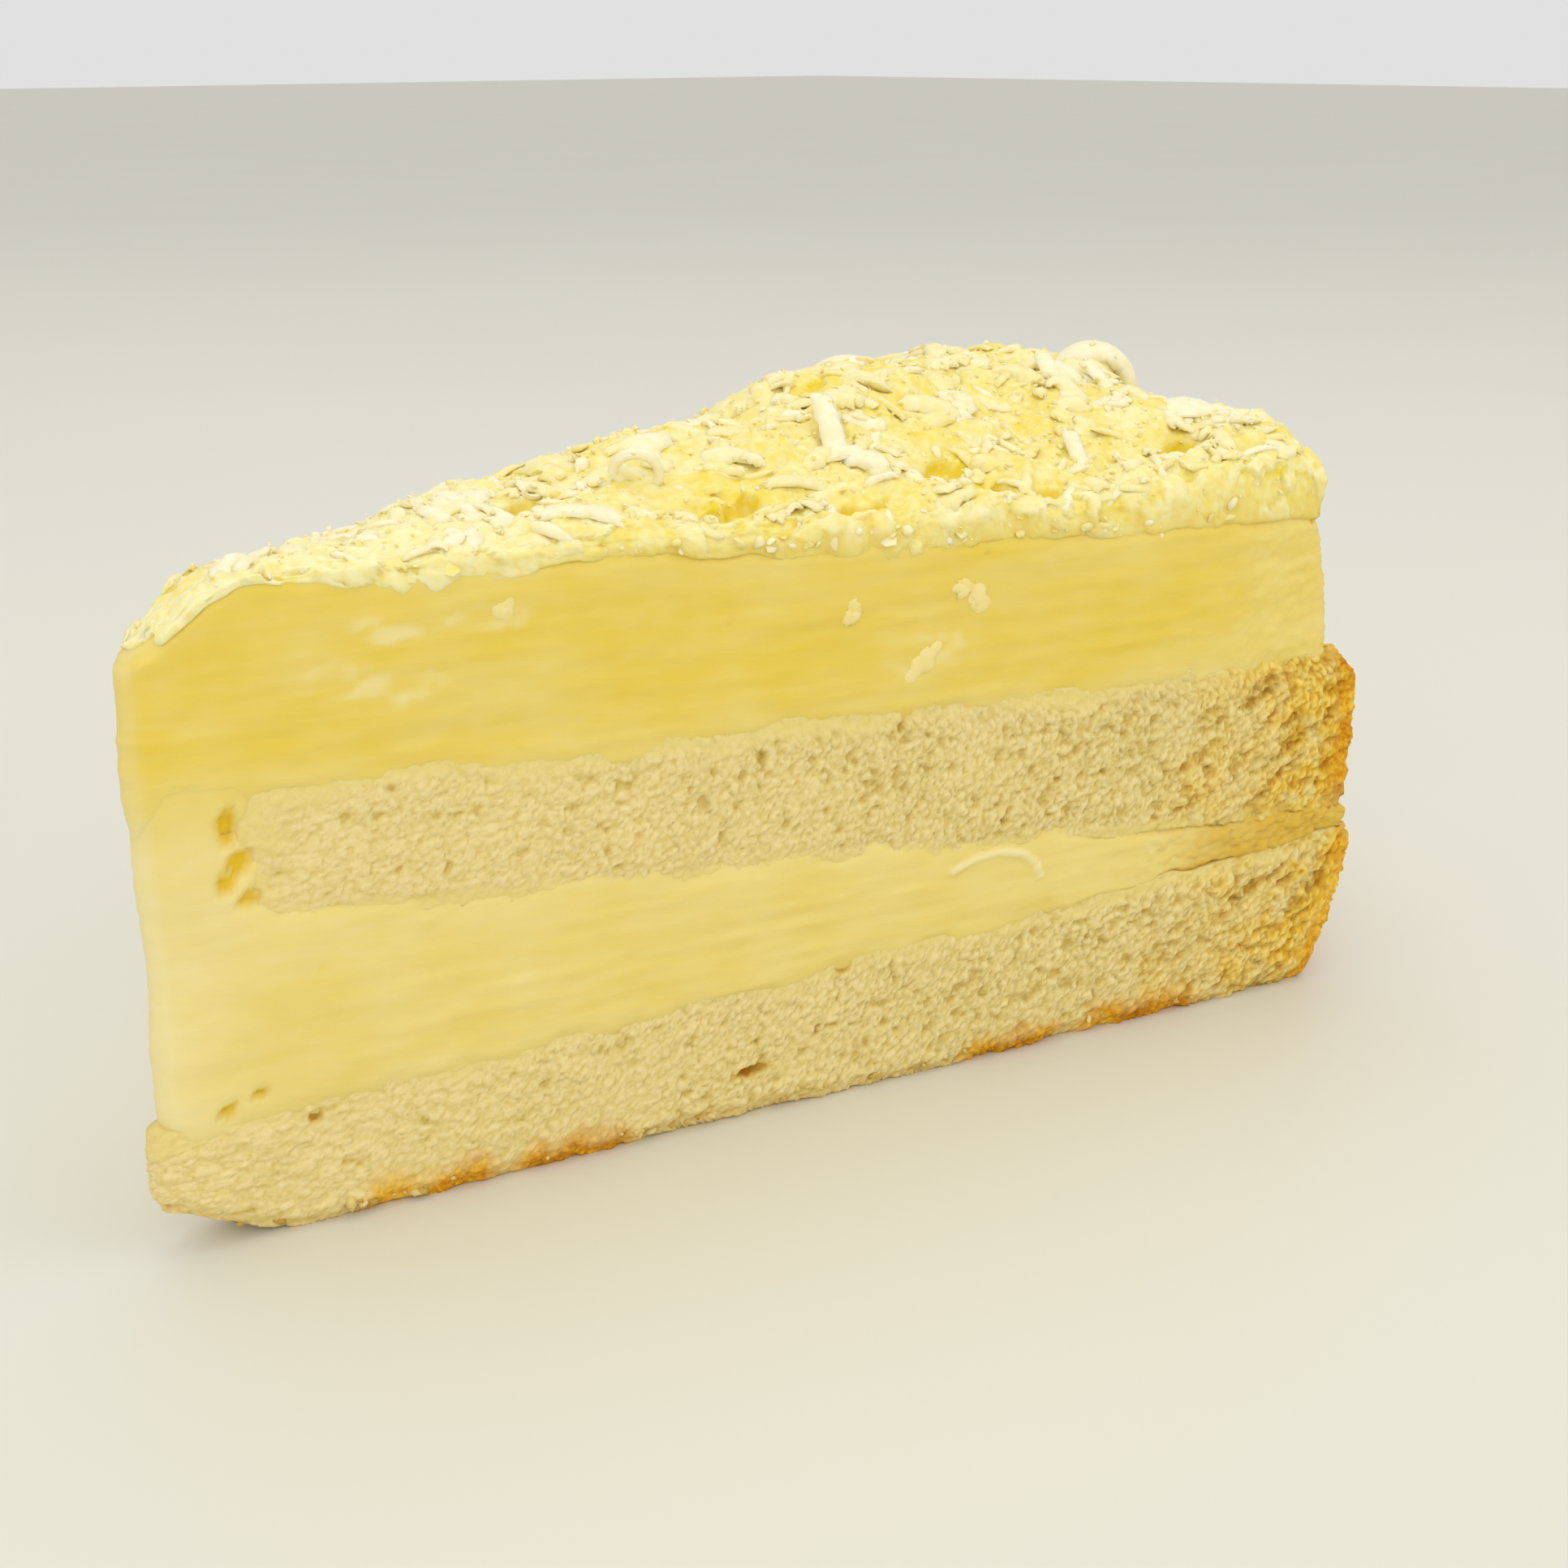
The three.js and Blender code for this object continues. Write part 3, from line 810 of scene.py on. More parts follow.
class HeapSurface:
    """Heights and shades of the heap on a grid, as shavings settle on it one after another."""

    def __init__(self):
        self.low = np.array([0.0, -CAKE_RADIUS * math.sin(HALF_ANGLE) - GRID_MARGIN])
        size = np.array([CAKE_RADIUS + GRID_MARGIN, -2 * self.low[1]])
        counts = np.ceil(size / CELL).astype(int)
        grid = np.stack(np.meshgrid(*(np.arange(n) + 0.5 for n in counts), indexing="ij"), -1)
        self.places = self.low + grid * CELL
        self.inside = outside(self.places) < 0
        self.thickness = heap_thickness(self.places)
        self.bottom = cream_top(self.places)
        self.height = self.bottom + np.maximum(self.thickness - LOOSE_DEPTH, PACKED_LEAST)
        self.tone = 0.4 + 0.2 * noise(self.places, 1.5, 95) - 0.5 * yellowed(self.places)
        self.rounding = rounding(self.places)
        finished = self.bottom + self.thickness * self.rounding
        self.target = np.where(self.inside & (gap_share(self.places) < 0.3), finished, NOTHING)

    def round_off(self):
        self.height = self.bottom + (self.height - self.bottom) * self.rounding

    def cells(self, points):
        index = np.floor((points[..., :2] - self.low) / CELL).astype(int)
        return tuple(np.clip(index[..., i], 0, self.height.shape[i] - 1) for i in range(2))

    def sampled(self, field, places):
        """A grid's values at places between its cells."""
        spot = (places - self.low) / CELL - 0.5
        cell = np.clip(np.floor(spot).astype(int), 0, np.array(field.shape) - 2)
        x, y = np.moveaxis(np.clip(spot - cell, 0, 1), -1, 0)
        i, j = np.moveaxis(cell, -1, 0)
        return mix(mix(field[i, j], field[i + 1, j], x), mix(field[i, j + 1], field[i + 1, j + 1], x), y)

    def wanted_place(self, least):
        """A place drawn where the heap is furthest below its finished height and thick enough."""
        wanted = np.clip(self.target - self.height, 0.05, None) ** 2
        wanted = np.where((self.thickness > least) & (self.target > NOTHING / 2), wanted, 0).ravel()
        chosen = draw.choice(wanted.size, p=wanted / wanted.sum())
        return self.places.reshape(-1, 2)[chosen] + draw.uniform(-0.5, 0.5, 2) * CELL

    def slope(self, place):
        """The finished heap's upward normal at a place."""
        here = place + SLOPE_REACH * np.array([[1, 0], [-1, 0], [0, 1], [0, -1]])
        heights = cream_top(here) + heap_thickness(here)
        return np.array([heights[1] - heights[0], heights[3] - heights[2], 4 * SLOPE_REACH])

    def settle(self, points, place, sink, overhang=0.1, covered=0.4, bridged=0.9):
        """Points lowered onto the heap at a place, or None if they overhang it or close a gap or a dip."""
        moved = points + np.array([*place, 0.0])
        if gap_share(moved[..., :2]).max() > covered:
            return None
        cells = self.cells(moved)
        held = self.inside[cells]
        if held.mean() < HELD_LEAST or outside(moved[..., :2]).max() > overhang:
            return None
        rise = self.height[cells] - moved[..., 2]
        lift = np.quantile(rise[held], sink)
        if (lift - rise).max() > bridged:
            return None
        return moved + np.array([0, 0, lift])

    def cover(self, points, thick, tone):
        fresh = self.height.copy()
        np.maximum.at(fresh, self.cells(points), points[..., 2] + thick / 2)
        self.tone[fresh > self.height] = tone
        self.height = fresh


# Kinds of shavings: ranges of their sizes, thickness, mesh steps, the least heap that one lies on, how far
# one leans, the share that lies upside down, and the share of each that stays above the heap
PRESSED_SHAVINGS = {
    "count": 1000, "length": (2.5, 7.0), "width": (1.5, 3.6), "bend": (4.0, 12.0), "taper": (0.1, 0.6),
    "thick": 0.6, "steps": (22, 13), "least": 0.8, "lean": 0.1, "flip": 0.3, "sink": 0.35,
}
SHAVING_KINDS = {
    "curls": {
        "count": 55, "length": (5, 10), "width": (2.4, 4.6), "bend": (4.0, 9.0), "taper": (0.1, 0.4),
        "thick": 0.9, "steps": (15, 6), "least": 3.0, "lean": 0.1, "flip": 0.1, "sink": 0.33,
    },
    "flakes": {
        "count": 220, "length": (2.0, 5.0), "width": (1.2, 2.8), "bend": (2.5, 9.0), "taper": (0.1, 0.6),
        "thick": 0.7, "steps": (10, 6), "least": 0.9, "lean": 0.14, "flip": 0.2, "sink": 0.3,
    },
    "slivers": {
        "count": 80, "length": (2.5, 6.0), "width": (0.7, 1.3), "bend": (3.0, 10.0), "taper": (0.1, 0.5),
        "thick": 0.6, "steps": (9, 4), "least": 1.5, "lean": 0.14, "flip": 0.3, "sink": 0.4,
    },
    "tufts": {
        "count": 110, "length": (1.4, 2.8), "width": (0.8, 1.5), "bend": (0.8, 2.0), "taper": (0.2, 0.5),
        "thick": 0.5, "steps": (8, 4), "least": 0.8, "lean": 0.35, "flip": 0.3, "sink": 0.5,
    },
}

# Shavings that the photo shows one by one: place along and across the slice, length, width and bend,
# thickness, yaw, pitch and roll in degrees, and the share that stays above the heap
MARKED_SHAVINGS = (
    ((115.5, -0.13), (15, 5.0, 3.8), 1.9, (-44, 0, 6), 0.35),
    ((109.0, -0.15), (9, 2.6, 5.0), 1.0, (-100, 0, 0), 0.45),
    ((74.0, -0.42), (12, 2.3, 30), 0.9, (62, -46, 0), 0.55),
    ((52.5, -0.4), (11, 1.2, 2.0), 0.8, (-40, 0, 20), 0.6),
    ((98.0, -0.7), (6, 1.8, 20), 0.8, (70, -50, 0), 0.55),
    ((110.5, -0.32), (6, 1.7, 14), 0.8, (-104, 30, 0), 0.55),
    ((107.0, -0.2), (7, 2.0, 14), 0.8, (60, -40, 0), 0.5),
    ((92.0, 0.3), (11, 4.2, 5), 1.0, (-30, 8, 0), 0.4),
    ((114.0, -0.6), (10, 5.0, 6), 1.0, (-40, 0, 10), 0.3),
    ((118.0, -0.62), (7, 3.5, 5), 1.0, (-20, 0, 10), 0.35),
)
MARKED_STEPS = (18, 5)
ANYWHERE = {"overhang": 9.0, "covered": 1.0, "bridged": 9.0}


def any_shaving(kind):
    length, width, bend = (draw.uniform(*kind[key]) for key in ("length", "width", "bend"))
    return shaving(
        length, width, bend,
        twist=draw.normal(0, 0.5),
        cup=draw.uniform(-0.05, 0.12),
        spiral=draw.uniform(0, 0.35),
        ragged=draw.uniform(0.08, 0.26),
        taper=draw.uniform(*kind["taper"]),
        steps=kind["steps"],
    )


def dropped(surface, kind):
    """Shavings of one kind, each settled where the heap still wants height: middle surfaces and tones."""
    made = 0
    for _ in range(TRIES * kind["count"]):
        if made == kind["count"]:
            return
        place = surface.wanted_place(kind["least"])
        flip = math.pi if draw.random() < kind["flip"] else 0.0
        middle = turned(
            any_shaving(kind),
            yaw=draw.uniform(0, 2 * math.pi),
            pitch=draw.normal(0, kind["lean"]),
            roll=flip + draw.normal(0, kind["lean"]),
            normal=surface.slope(place),
        )
        rested = surface.settle(middle, place, kind["sink"])
        if rested is None:
            continue
        tone = draw.uniform(0.2, 1.0) * (1 - 0.7 * yellowed(place)) + whitened(place)
        surface.cover(rested, kind["thick"], tone)
        made += 1
        yield rested, tone


def scatter(surface, kind):
    """A pile of one kind of shaving, lying loose on the heap."""
    pile = Pile()
    triangles = plate_triangles(*kind["steps"])
    for middle, tone in dropped(surface, kind):
        pile.add(thickened(middle, kind["thick"]), triangles, tone)
    return pile


def add_marked(surface, pile):
    triangles = plate_triangles(*MARKED_STEPS)
    for (along, across), size, thick, turns, sink in MARKED_SHAVINGS:
        middle = shaving(*size, cup=0.03, ragged=0.07, taper=0.15, steps=MARKED_STEPS)
        place = along * ways(across * HALF_ANGLE)
        rested = surface.settle(turned(middle, *np.radians(turns)), place, sink, **ANYWHERE)
        surface.cover(rested, thick, 1.0)
        pile.add(thickened(rested, thick), triangles, 1.0)


# The heap's upright sides, and where shavings were drawn down over the cream: middle, spread, depth
WALLS = {
    "front": {"crumbs": 70, "spills": ((31, 6.5, 3.0), (72, 9.0, 1.8), (102, 8.0, 1.0))},
    "back": {"crumbs": 70, "spills": ((48, 9.0, 1.8), (90, 9.0, 1.4))},
    "rim": {"crumbs": 40, "spills": ()},
}
WALL_REACH, RIM_REACH = (45.0, 120.5), (-0.98, 0.98)
WALL_INSET, WALL_PRESSED, WALL_RISE = 0.4, (-0.4, -0.05), (0.0, 0.35)
SPILL_SHARE = 0.12


def wall_spot(wall):
    """A drawn point on one of the heap's upright sides."""
    spills = WALLS[wall]["spills"]
    pressed = draw.uniform(*WALL_PRESSED)
    if wall == "rim":
        out = ways(draw.uniform(*RIM_REACH) * HALF_ANGLE)
        place = out * (HEAP_RIM - WALL_INSET + pressed)
    else:
        way, out = (FRONT_WAY, FRONT_OUT) if wall == "front" else (BACK_WAY, BACK_OUT)
        place = way * draw.uniform(*WALL_REACH) + out * pressed
    rise = draw.uniform(*WALL_RISE) * heap_thickness(place)
    if spills and draw.random() < SPILL_SHARE:
        middle, spread, depth = spills[draw.integers(len(spills))]
        place = way * draw.normal(middle, spread / 2) + out * pressed
        rise = -abs(draw.normal(0, depth / 2))
    return raised(place, cream_top(place) + rise)


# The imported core: a sheet, whose points bunch up towards its edges, and a skirt that hangs over the cream
CORE_STEPS, CORE_BUNCHING = (340, 220), 1.35
CORE_MARGIN, CORE_BELOW, CORE_DEPTH, CORE_EDGE = 0.2, 0.4, 6.0, (0.3, 2.8)
SKIRT_ROWS, SKIRT_BULGE, SKIRT_TUCK = 12, 0.5, 1.0
TIP_RAGGED = 1.6
DRAPE_WAVES = ((2.6, 0.45, 97), (0.9, 0.2, 98))
HEM_WAVES = ((2.0, 0.35, 96), (0.7, 0.2, 94))
EDGE_TONE, SKIRT_TONE, PURE_TIP = 0.62, 0.6, (30, 50)


def drape(places):
    """How far the shavings hang down over the cream at places round the heap's edge."""
    radius = radius_of(places)
    uneven = 1 + waves(places, DRAPE_WAVES)
    depth = 0.3 + 0.4 * uneven
    for wall, out in (("front", FRONT_OUT), ("back", BACK_OUT)):
        near = places @ out > -1
        for middle, spread, fall in WALLS[wall]["spills"]:
            reach = np.exp(-(((radius - middle) / spread) ** 2))
            depth = depth + near * (0.3 + 0.5 * uneven) * fall * reach
    return depth


def draped_skirt(edge, line):
    """Loops of points from the sheet's edge down over the cream and in under it, their shades, and how
    far each is mixed with cream. The line is the edge in the plane, before its relief.
    """
    ahead = np.roll(line, -1, 0) - np.roll(line, 1, 0)
    out = np.stack([ahead[:, 1], -ahead[:, 0]], -1)
    out /= np.linalg.norm(out, axis=-1, keepdims=True)
    share = np.linspace(0, 1, SKIRT_ROWS + 1)[1:, None]
    height = mix(edge[:, 2], cream_top(line) - drape(line), share)
    bulge = SKIRT_BULGE * np.sqrt(share) * (1 - share) - SKIRT_TUCK * smoothstep(share, 0.8, 1)
    places = mix(edge[:, :2], line, smoothstep(share, 0, 0.4)[..., None]) + out * bulge[..., None]
    points = raised(places, height)
    relief, shade = packed_relief(points, steep=0.7)
    points[..., :2] += out * (relief * fading(share, 0.7, 1))[..., None]
    hem = share + waves(points, HEM_WAVES) - 0.4 * fading(radius_of(line), *PURE_TIP)
    return points, SKIRT_TONE + shade + whitened(line), smoothstep(hem, 0.1, 0.9)


def bunched_up(low, count):
    """Shares from low to 1 that lie closer together towards 1, and towards -1 when low is -1."""
    return np.sin(np.linspace(low, 1, count) * CORE_BUNCHING) / math.sin(CORE_BUNCHING)


def heap_core(surface, material):
    """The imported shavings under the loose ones: a sheet with a skirt, closed inside the cream."""
    rows, columns = CORE_STEPS
    bunched = bunched_up(-1, columns)
    start = HEAP_START + TIP_RAGGED * noise(HEAP_START * ways(bunched * HALF_ANGLE), 1.1, 89)
    radius = mix(start, HEAP_RIM - CORE_MARGIN, bunched_up(0, rows)[:, None])
    places = radius[..., None] * ways(np.broadcast_to(bunched * HALF_ANGLE, (rows, columns)))
    places[..., 1] -= CORE_MARGIN * bunched
    near_edge = fading(-outside(places), *CORE_EDGE)
    planned = cream_top(places) + heap_thickness(places) * rounding(places) - CORE_BELOW
    height = mix(surface.sampled(softened(softened(surface.height)), places), planned, 0.85 * near_edge)
    sheet = raised(places, height)
    relief, shade = packed_relief(sheet, near_edge)
    tone = mix(surface.sampled(softened(surface.tone), places), EDGE_TONE, 0.9 * near_edge)
    tone = tone + shade + whitened(places)
    sheet = (sheet + normals(sheet) * relief[..., None]).reshape(-1, 3)

    at, upper, edge = sheet_triangles(rows, columns)
    skirt, skirt_tone, creamed = draped_skirt(sheet[edge], places.reshape(-1, 2)[edge])
    pole = raised(CAP_MIDDLE, cream_top(CAP_MIDDLE) - CORE_DEPTH)
    loops = [edge, *(at.size + np.arange(SKIRT_ROWS * len(edge)).reshape(SKIRT_ROWS, -1))]
    sides = [loop_triangles(high, low) for high, low in itertools.pairwise(loops)]
    last = loops[-1]
    closing = np.stack([np.full(len(last), last[-1] + 1), np.roll(last, -1), last], -1)
    points = np.concatenate([sheet, skirt.reshape(-1, 3), pole[None]])
    tones = np.clip(np.concatenate([tone.ravel(), skirt_tone.ravel(), [0.5]]), 0, 1)
    values = {"tone": tones, "creamed": np.concatenate([np.zeros(at.size), creamed.ravel(), [1.0]])}
    triangles = np.concatenate([upper, *sides, closing])
    make_piece("shaving_core", points, triangles, material, "shavings", values, node="shaving_heap")


# Flakes that the knife drew down over the front cut: distance from the apex, height, length, width, turn
FACE_FLAKES = (
    (36.5, 51.0, 4.0, 2.0, 40),
    (68.4, 46.1, 2.4, 2.0, 40),
    (82.0, 45.6, 4.2, 2.8, -35),
    (80.0, 47.2, 2.6, 1.8, 20),
    (75.8, 40.6, 5.6, 2.2, 62),
)
FLAKE_BITS, FLAKE_STEPS = 3, (9, 6)
FLAKE_OUT, FLAKE_THICK = 0.1, 0.26


def face_flakes():
    """The flakes on the front cut, each broken into a few bits that lie close together."""
    pile = Pile()
    triangles = plate_triangles(*FLAKE_STEPS)
    axes = np.array([[*FRONT_WAY, 0], [0, 0, 1.0], [*FRONT_OUT, 0]])
    for along, height, length, width, turn in FACE_FLAKES:
        for _ in range(FLAKE_BITS):
            long, wide = length * draw.uniform(0.5, 0.9), width * draw.uniform(0.5, 0.9)
            bit = shaving(long, wide, long * 1.6, cup=0.05, ragged=0.16, taper=0.35, steps=FLAKE_STEPS)
            bit = turned(bit, yaw=draw.normal(0, 0.5))
            bit[..., 0] += length * draw.uniform(-0.2, 0.2)
            bit[..., 1] += width * draw.uniform(-0.25, 0.25)
            bit = turned(bit, yaw=math.radians(turn)) + (along, height, FLAKE_OUT)
            pile.add(thickened(bit @ axes, FLAKE_THICK), triangles, draw.uniform(0.2, 0.9))
    return pile


# Materials


def linear(red, green, blue):
    """A colour as a screen shows it, from 0 to 255, as a shader's linear colour."""
    shares = np.array([red, green, blue]) / 255
    values = np.where(shares <= 0.04045, shares / 12.92, ((shares + 0.055) / 1.055) ** 2.4)
    return (*values, 1.0)


# Colours, and ramps of them with the place of each colour on the ramp
# The crumb ramps run from the crumb's colour at 0 to painted shade in its crevices at 1
CRUMB_PALE = ((0.0, linear(236, 216, 154)), (0.35, linear(226, 204, 130)), (1.0, linear(190, 156, 54)))
CRUMB_WARM = ((0.0, linear(241, 214, 116)), (0.3, linear(230, 189, 62)), (0.9, linear(168, 107, 6)))
CRUST = ((0.2, linear(188, 120, 6)), (0.5, linear(221, 159, 20)), (0.8, linear(244, 197, 60)))
SMEAR = linear(230, 208, 118)
CREAM_DEEP, CREAM_PALE = linear(230, 202, 76), linear(240, 224, 160)
# CREAM_PIT_SHADE is painted shade in the cream's pits and bubbles
CREAM_TOAST, CREAM_PIT_SHADE, CREAM_HEM = linear(214, 172, 36), linear(230, 190, 0), linear(234, 209, 104)
FLOOR = linear(221, 218, 204), linear(224, 222, 209)

# The shavings' deeper and paler colour, and how strongly light scatters in them; painted shade in the
# heap's gaps takes the deeper colour
SHAVING_COLOURS = {
    "white_chocolate": (linear(240, 222, 120), linear(245, 238, 206), 0.0),
    "smeared_shavings": (linear(238, 214, 118), linear(243, 226, 164), 0.0),
    "packed_shavings": (linear(236, 211, 46), linear(244, 235, 180), 0.3),
}


class Shading:
    """A material's node tree, with short ways to add nodes."""

    def __init__(self, name):
        self.material = bpy.data.materials.new(name)
        self.material.use_nodes = True
        self.tree = self.material.node_tree
        self.shader = self.tree.nodes["Principled BSDF"]
        self.where = self.add("TexCoord").outputs["Object"]

    def add(self, kind, inputs=None, **settings):
        made = self.tree.nodes.new("ShaderNode" + kind)
        for key, value in settings.items():
            setattr(made, key, value)
        for key, value in (inputs or {}).items():
            self.put(made.inputs[key], value)
        return made

    def put(self, socket, value):
        if isinstance(value, bpy.types.NodeSocket):
            self.tree.links.new(value, socket)
        else:
            socket.default_value = value

    def value(self, name):
        return self.add("Attribute", attribute_name=name).outputs["Fac"]

    def noise(self, size, detail=2.0, stretch=(1, 1, 1)):
        """Noise from 0 to 1 with lumps of a size in millimetres."""
        scale = [1 / (size * MM * way) for way in stretch]
        mapping = self.add("Mapping", {"Vector": self.where, "Scale": scale})
        inputs = {"Vector": mapping.outputs["Vector"], "Scale": 1.0, "Detail": detail}
        return self.add("TexNoise", inputs).outputs["Fac"]

    def scaled(self, value, low, high, to_low=0.0, to_high=1.0):
        inputs = {"Value": value, "From Min": low, "From Max": high, "To Min": to_low, "To Max": to_high}
        return self.add("MapRange", inputs).outputs["Result"]

    def math(self, operation, a, b):
        return self.add("Math", {0: a, 1: b}, operation=operation, use_clamp=True).outputs[0]

    def blend(self, share, a, b):
        return self.add("Mix", {0: share, 6: a, 7: b}, data_type="RGBA").outputs[2]

    def ramp(self, value, stops):
        made = self.add("ValToRGB", {"Fac": value})
        stops_made = made.color_ramp.elements
        while len(stops_made) < len(stops):
            stops_made.new(0.5)
        for stop, (position, colour) in zip(stops_made, stops):
            stop.position, stop.color = position, colour
        return made.outputs["Color"]

    def bump(self, height, strength, distance):
        inputs = {"Height": height, "Strength": strength, "Distance": distance * MM}
        return self.add("Bump", inputs).outputs["Normal"]

    def scattering(self, weight, scale):
        """Light that scatters below the surface, red the furthest."""
        radius = (1.0, 0.7, 0.3)
        self.finish(Subsurface_Weight=weight, Subsurface_Radius=radius, Subsurface_Scale=scale * MM)

    def finish(self, **inputs):
        for key, value in inputs.items():
            self.put(self.shader.inputs[key.replace("_", " ")], value)
        return self.material


def sponge_material():
    s = Shading("sponge")
    pit, skin, golden, smear = (s.value(key) for key in ("pit", "skin", "golden", "smear"))
    mottle = s.noise(3.0)
    fine = s.noise(0.5, detail=3.0)
    # The crevice shade value, with grain noise, picks a colour on the crumb ramps, whose dark ends are
    # painted shade
    depth = s.math("ADD", pit, s.scaled(fine, 0.3, 0.7, -0.1, 0.15))
    warmth = s.math("MULTIPLY", golden, s.scaled(mottle, 0.3, 0.55))
    crumb_colour = s.blend(warmth, s.ramp(depth, CRUMB_PALE), s.ramp(depth, CRUMB_WARM))
    patches = s.scaled(s.noise(5.0, detail=5.0), 0.3, 0.7, 0.0, 0.5)
    grain = s.scaled(fine, 0.3, 0.7, 0.0, 0.5)
    colour = s.blend(skin, crumb_colour, s.ramp(s.math("ADD", patches, grain), CRUST))
    s.scattering(weight=0.1, scale=0.6)
    return s.finish(
        Base_Color=s.blend(s.math("MULTIPLY", smear, 0.7), colour, SMEAR),
        Roughness=s.scaled(smear, 0, 1, 0.85, 0.55),
        Normal=s.bump(s.noise(0.3, detail=3.0), strength=0.35, distance=0.15),
        Specular_IOR_Level=0.25,
    )


def cream_material():
    s = Shading("cream")
    streak = s.noise(5.0, detail=3.0, stretch=(1, 1, 0.25))
    cloud = s.noise(7.0)
    share = s.math("ADD", s.value("pale"), s.scaled(cloud, 0.3, 0.7, -0.08, 0.12))
    share = s.math("ADD", share, s.scaled(streak, 0.4, 0.7, -0.05, 0.08))
    colour = s.blend(share, CREAM_DEEP, CREAM_PALE)
    colour = s.blend(s.math("MULTIPLY", s.value("toast"), 0.85), colour, CREAM_TOAST)
    s.scattering(weight=0.2, scale=1.0)
    return s.finish(
        # Painted shade: pits and bubbles take the deep yellow
        Base_Color=s.blend(s.math("MULTIPLY", s.value("deep"), 0.95), colour, CREAM_PIT_SHADE),
        Roughness=s.scaled(s.noise(2.0), 0.3, 0.7, 0.4, 0.56),
        Normal=s.bump(s.noise(0.8, detail=4.0, stretch=(2, 2, 0.6)), strength=0.25, distance=0.12),
        Specular_IOR_Level=0.35,
    )


def shaving_material(name):
    deep, pale, scattered = SHAVING_COLOURS[name]
    s = Shading(name)
    grain = s.noise(1.0, detail=4.0)
    speckle = s.scaled(grain, 0.35, 0.65, -0.15, 0.25)
    share = s.math("ADD", s.scaled(s.value("tone"), 0, 1, 0.1, 0.8), speckle)
    creamed = s.math("MULTIPLY", s.value("creamed"), 0.9)
    s.scattering(weight=scattered, scale=1.2)
    return s.finish(
        Base_Color=s.blend(creamed, s.blend(share, deep, pale), CREAM_HEM),
        Roughness=s.scaled(grain, 0.3, 0.7, 0.42, 0.6),
        Normal=s.bump(s.noise(0.5, detail=3.0), strength=0.3, distance=0.12),
        Specular_IOR_Level=0.3,
    )


def floor_material():
    s = Shading("floor")
    return s.finish(Base_Color=s.blend(s.noise(120.0), *FLOOR), Roughness=0.5, Specular_IOR_Level=0.3)


# The pieces
LOOSE_CRUMBS, LOOSE_SIZES, LOOSE_HEIGHTS, LOOSE_REACH = 90, (0.2, 0.6), (0.7, 1.8), 0.9 * CAKE_RADIUS
POWDER_COUNT, POWDER_SIZES, POWDER_SINK = 2200, (0.12, 0.4), 0.06
WALL_CRUMB_SIZES = (0.25, 0.8)


def loose_crumbs(points):
    """Crumbs that hang on along the base's lower edge."""
    lowest, highest = LOOSE_HEIGHTS
    height = points[:, 2]
    low = points[(height > lowest) & (height < highest) & (radius_of(points) < LOOSE_REACH)]
    pile = Pile()
    add_crumbs(pile, low[draw.choice(len(low), LOOSE_CRUMBS)], LOOSE_SIZES, flatness=0.8)
    return pile


def build_slice():
    sponge, cream = sponge_material(), cream_material()
    top_of = {name: partial(level, name) for name in LEVELS}
    base_dress = dressed_sponge(seed=100, smear_above=2.2)
    upper_dress = dressed_sponge(seed=200, smear_above=3.0, smear_below=1.8)
    base = layer_mesh("base", base_floor, top_of["base"], SPONGE_MESH, base_dress, base_sole)
    upper = layer_mesh("sponge", top_of["filling"], top_of["sponge"], SPONGE_MESH, upper_dress)
    filling = layer_mesh("filling", filling_floor, filling_roof, CREAM_MESH, dress_filling)
    top = layer_mesh("cream", cream_floor, cream_top, CREAM_MESH, dress_top)
    # Each loose crumb gets a random tone on the same crumb ramps
    loose_crumbs(base[0]).piece("loose_crumbs", sponge, "sponge", shade="pit")
    for name, (points, triangles, values), material, slot, node in (
        ("base_crumb", base, sponge, "sponge", "base_sponge"),
        ("upper_crumb", upper, sponge, "sponge", "upper_sponge"),
        ("lemon_filling", filling, cream, "cream", "filling_cream"),
        ("lemon_top", top, cream, "cream", "top_cream"),
    ):
        make_piece(name, points, triangles, material, slot, values, node=node)


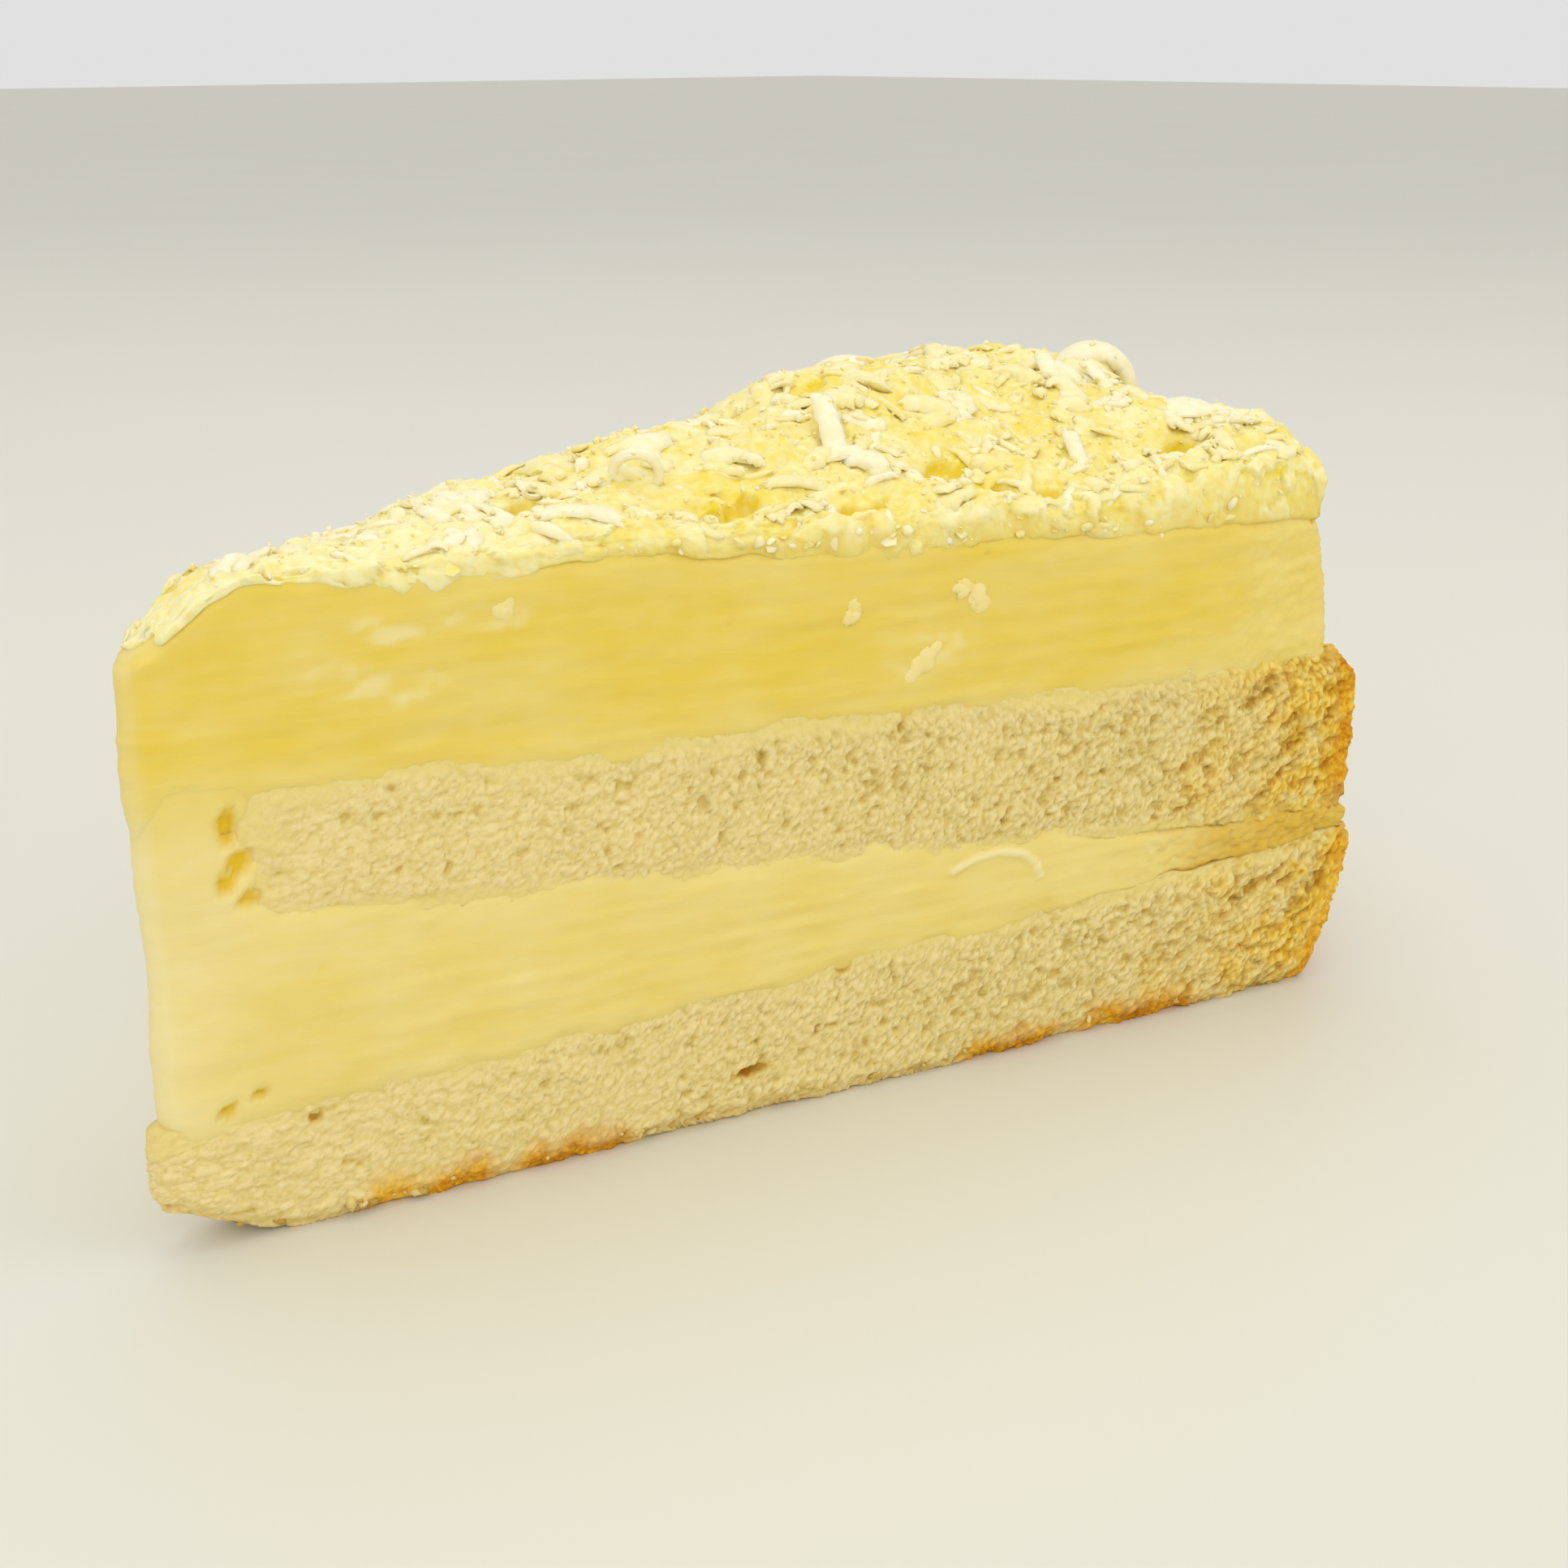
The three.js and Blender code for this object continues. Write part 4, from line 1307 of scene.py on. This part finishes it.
def build_heap():
    chocolate, smeared, packed = (shaving_material(name) for name in SHAVING_COLOURS)
    surface = HeapSurface()
    for _ in dropped(surface, PRESSED_SHAVINGS):
        pass
    surface.round_off()
    heap_core(surface, packed)
    piles = {name: scatter(surface, kind) for name, kind in SHAVING_KINDS.items()}
    add_marked(surface, piles["curls"])
    for name, pile in piles.items():
        pile.piece("shaving_" + name, chocolate, "shavings")

    powder = Pile()
    inside = np.argwhere(surface.target > NOTHING / 2)
    chosen = tuple(inside[draw.choice(len(inside), POWDER_COUNT)].T)
    tops = raised(surface.places[chosen], surface.height[chosen])
    add_crumbs(powder, tops - (0, 0, POWDER_SINK), POWDER_SIZES, flatness=0.5)
    for wall, side in WALLS.items():
        add_crumbs(powder, [wall_spot(wall) for _ in range(side["crumbs"])], WALL_CRUMB_SIZES)
    powder.piece("shaving_powder", chocolate, "shavings")
    face_flakes().piece("face_flakes", smeared, "shavings")


# The stage, in metres: lights have a place, a width and a power
FLOOR_SIZE = 8
LIGHTS = {
    "overhead": ((0.05, 0.1, 0.75), 1.0, 1.8),
    "front_left": ((-0.55, -0.5, 0.45), 0.6, 1.64),
    "front_right": ((0.45, -0.6, 0.4), 0.6, 0.75),
}
LIT_POINT = Vector((0, 0, 0.03))
WORLD_LIGHT = 0.75


def build_stage():
    bpy.ops.mesh.primitive_plane_add(size=FLOOR_SIZE)
    floor = bpy.context.object
    floor.name = "floor"
    floor.data.materials.append(floor_material())
    floor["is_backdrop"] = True

    for name, (place, width, power) in LIGHTS.items():
        lamp = bpy.data.lights.new(name, "AREA")
        lamp.shape, lamp.size, lamp.energy = "DISK", width, power
        light = shown(name, lamp)
        light.location = place
        light.rotation_euler = (LIT_POINT - Vector(place)).to_track_quat("-Z", "Y").to_euler()

    world = bpy.data.worlds.new("studio")
    world.use_nodes = True
    background = world.node_tree.nodes["Background"]
    background.inputs["Color"].default_value = (1, 1, 1, 1)
    background.inputs["Strength"].default_value = WORLD_LIGHT
    scene.world = world
    scene.view_settings.view_transform = "Standard"


def build_camera():
    lens = bpy.data.cameras.new("camera")
    lens.sensor_width = SENSOR
    lens.lens = PHOTO_FOCAL / PHOTO_SIZE * SENSOR
    lens.clip_start = CAMERA_NEAR * MM
    camera = shown("camera", lens)
    camera.location = (np.array(CAMERA_PLACE) + (APEX_X, 0, 0)) * MM
    camera.rotation_euler = (math.pi / 2 - CAMERA_PITCH, 0, -CAMERA_HEADING)
    bpy.context.scene.camera = camera


build_camera()
build_stage()
build_slice()
build_heap()

boxes = {"cad": cad_box, "visual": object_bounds()}
{key: [list(corner) for corner in box] for key, box in boxes.items()}
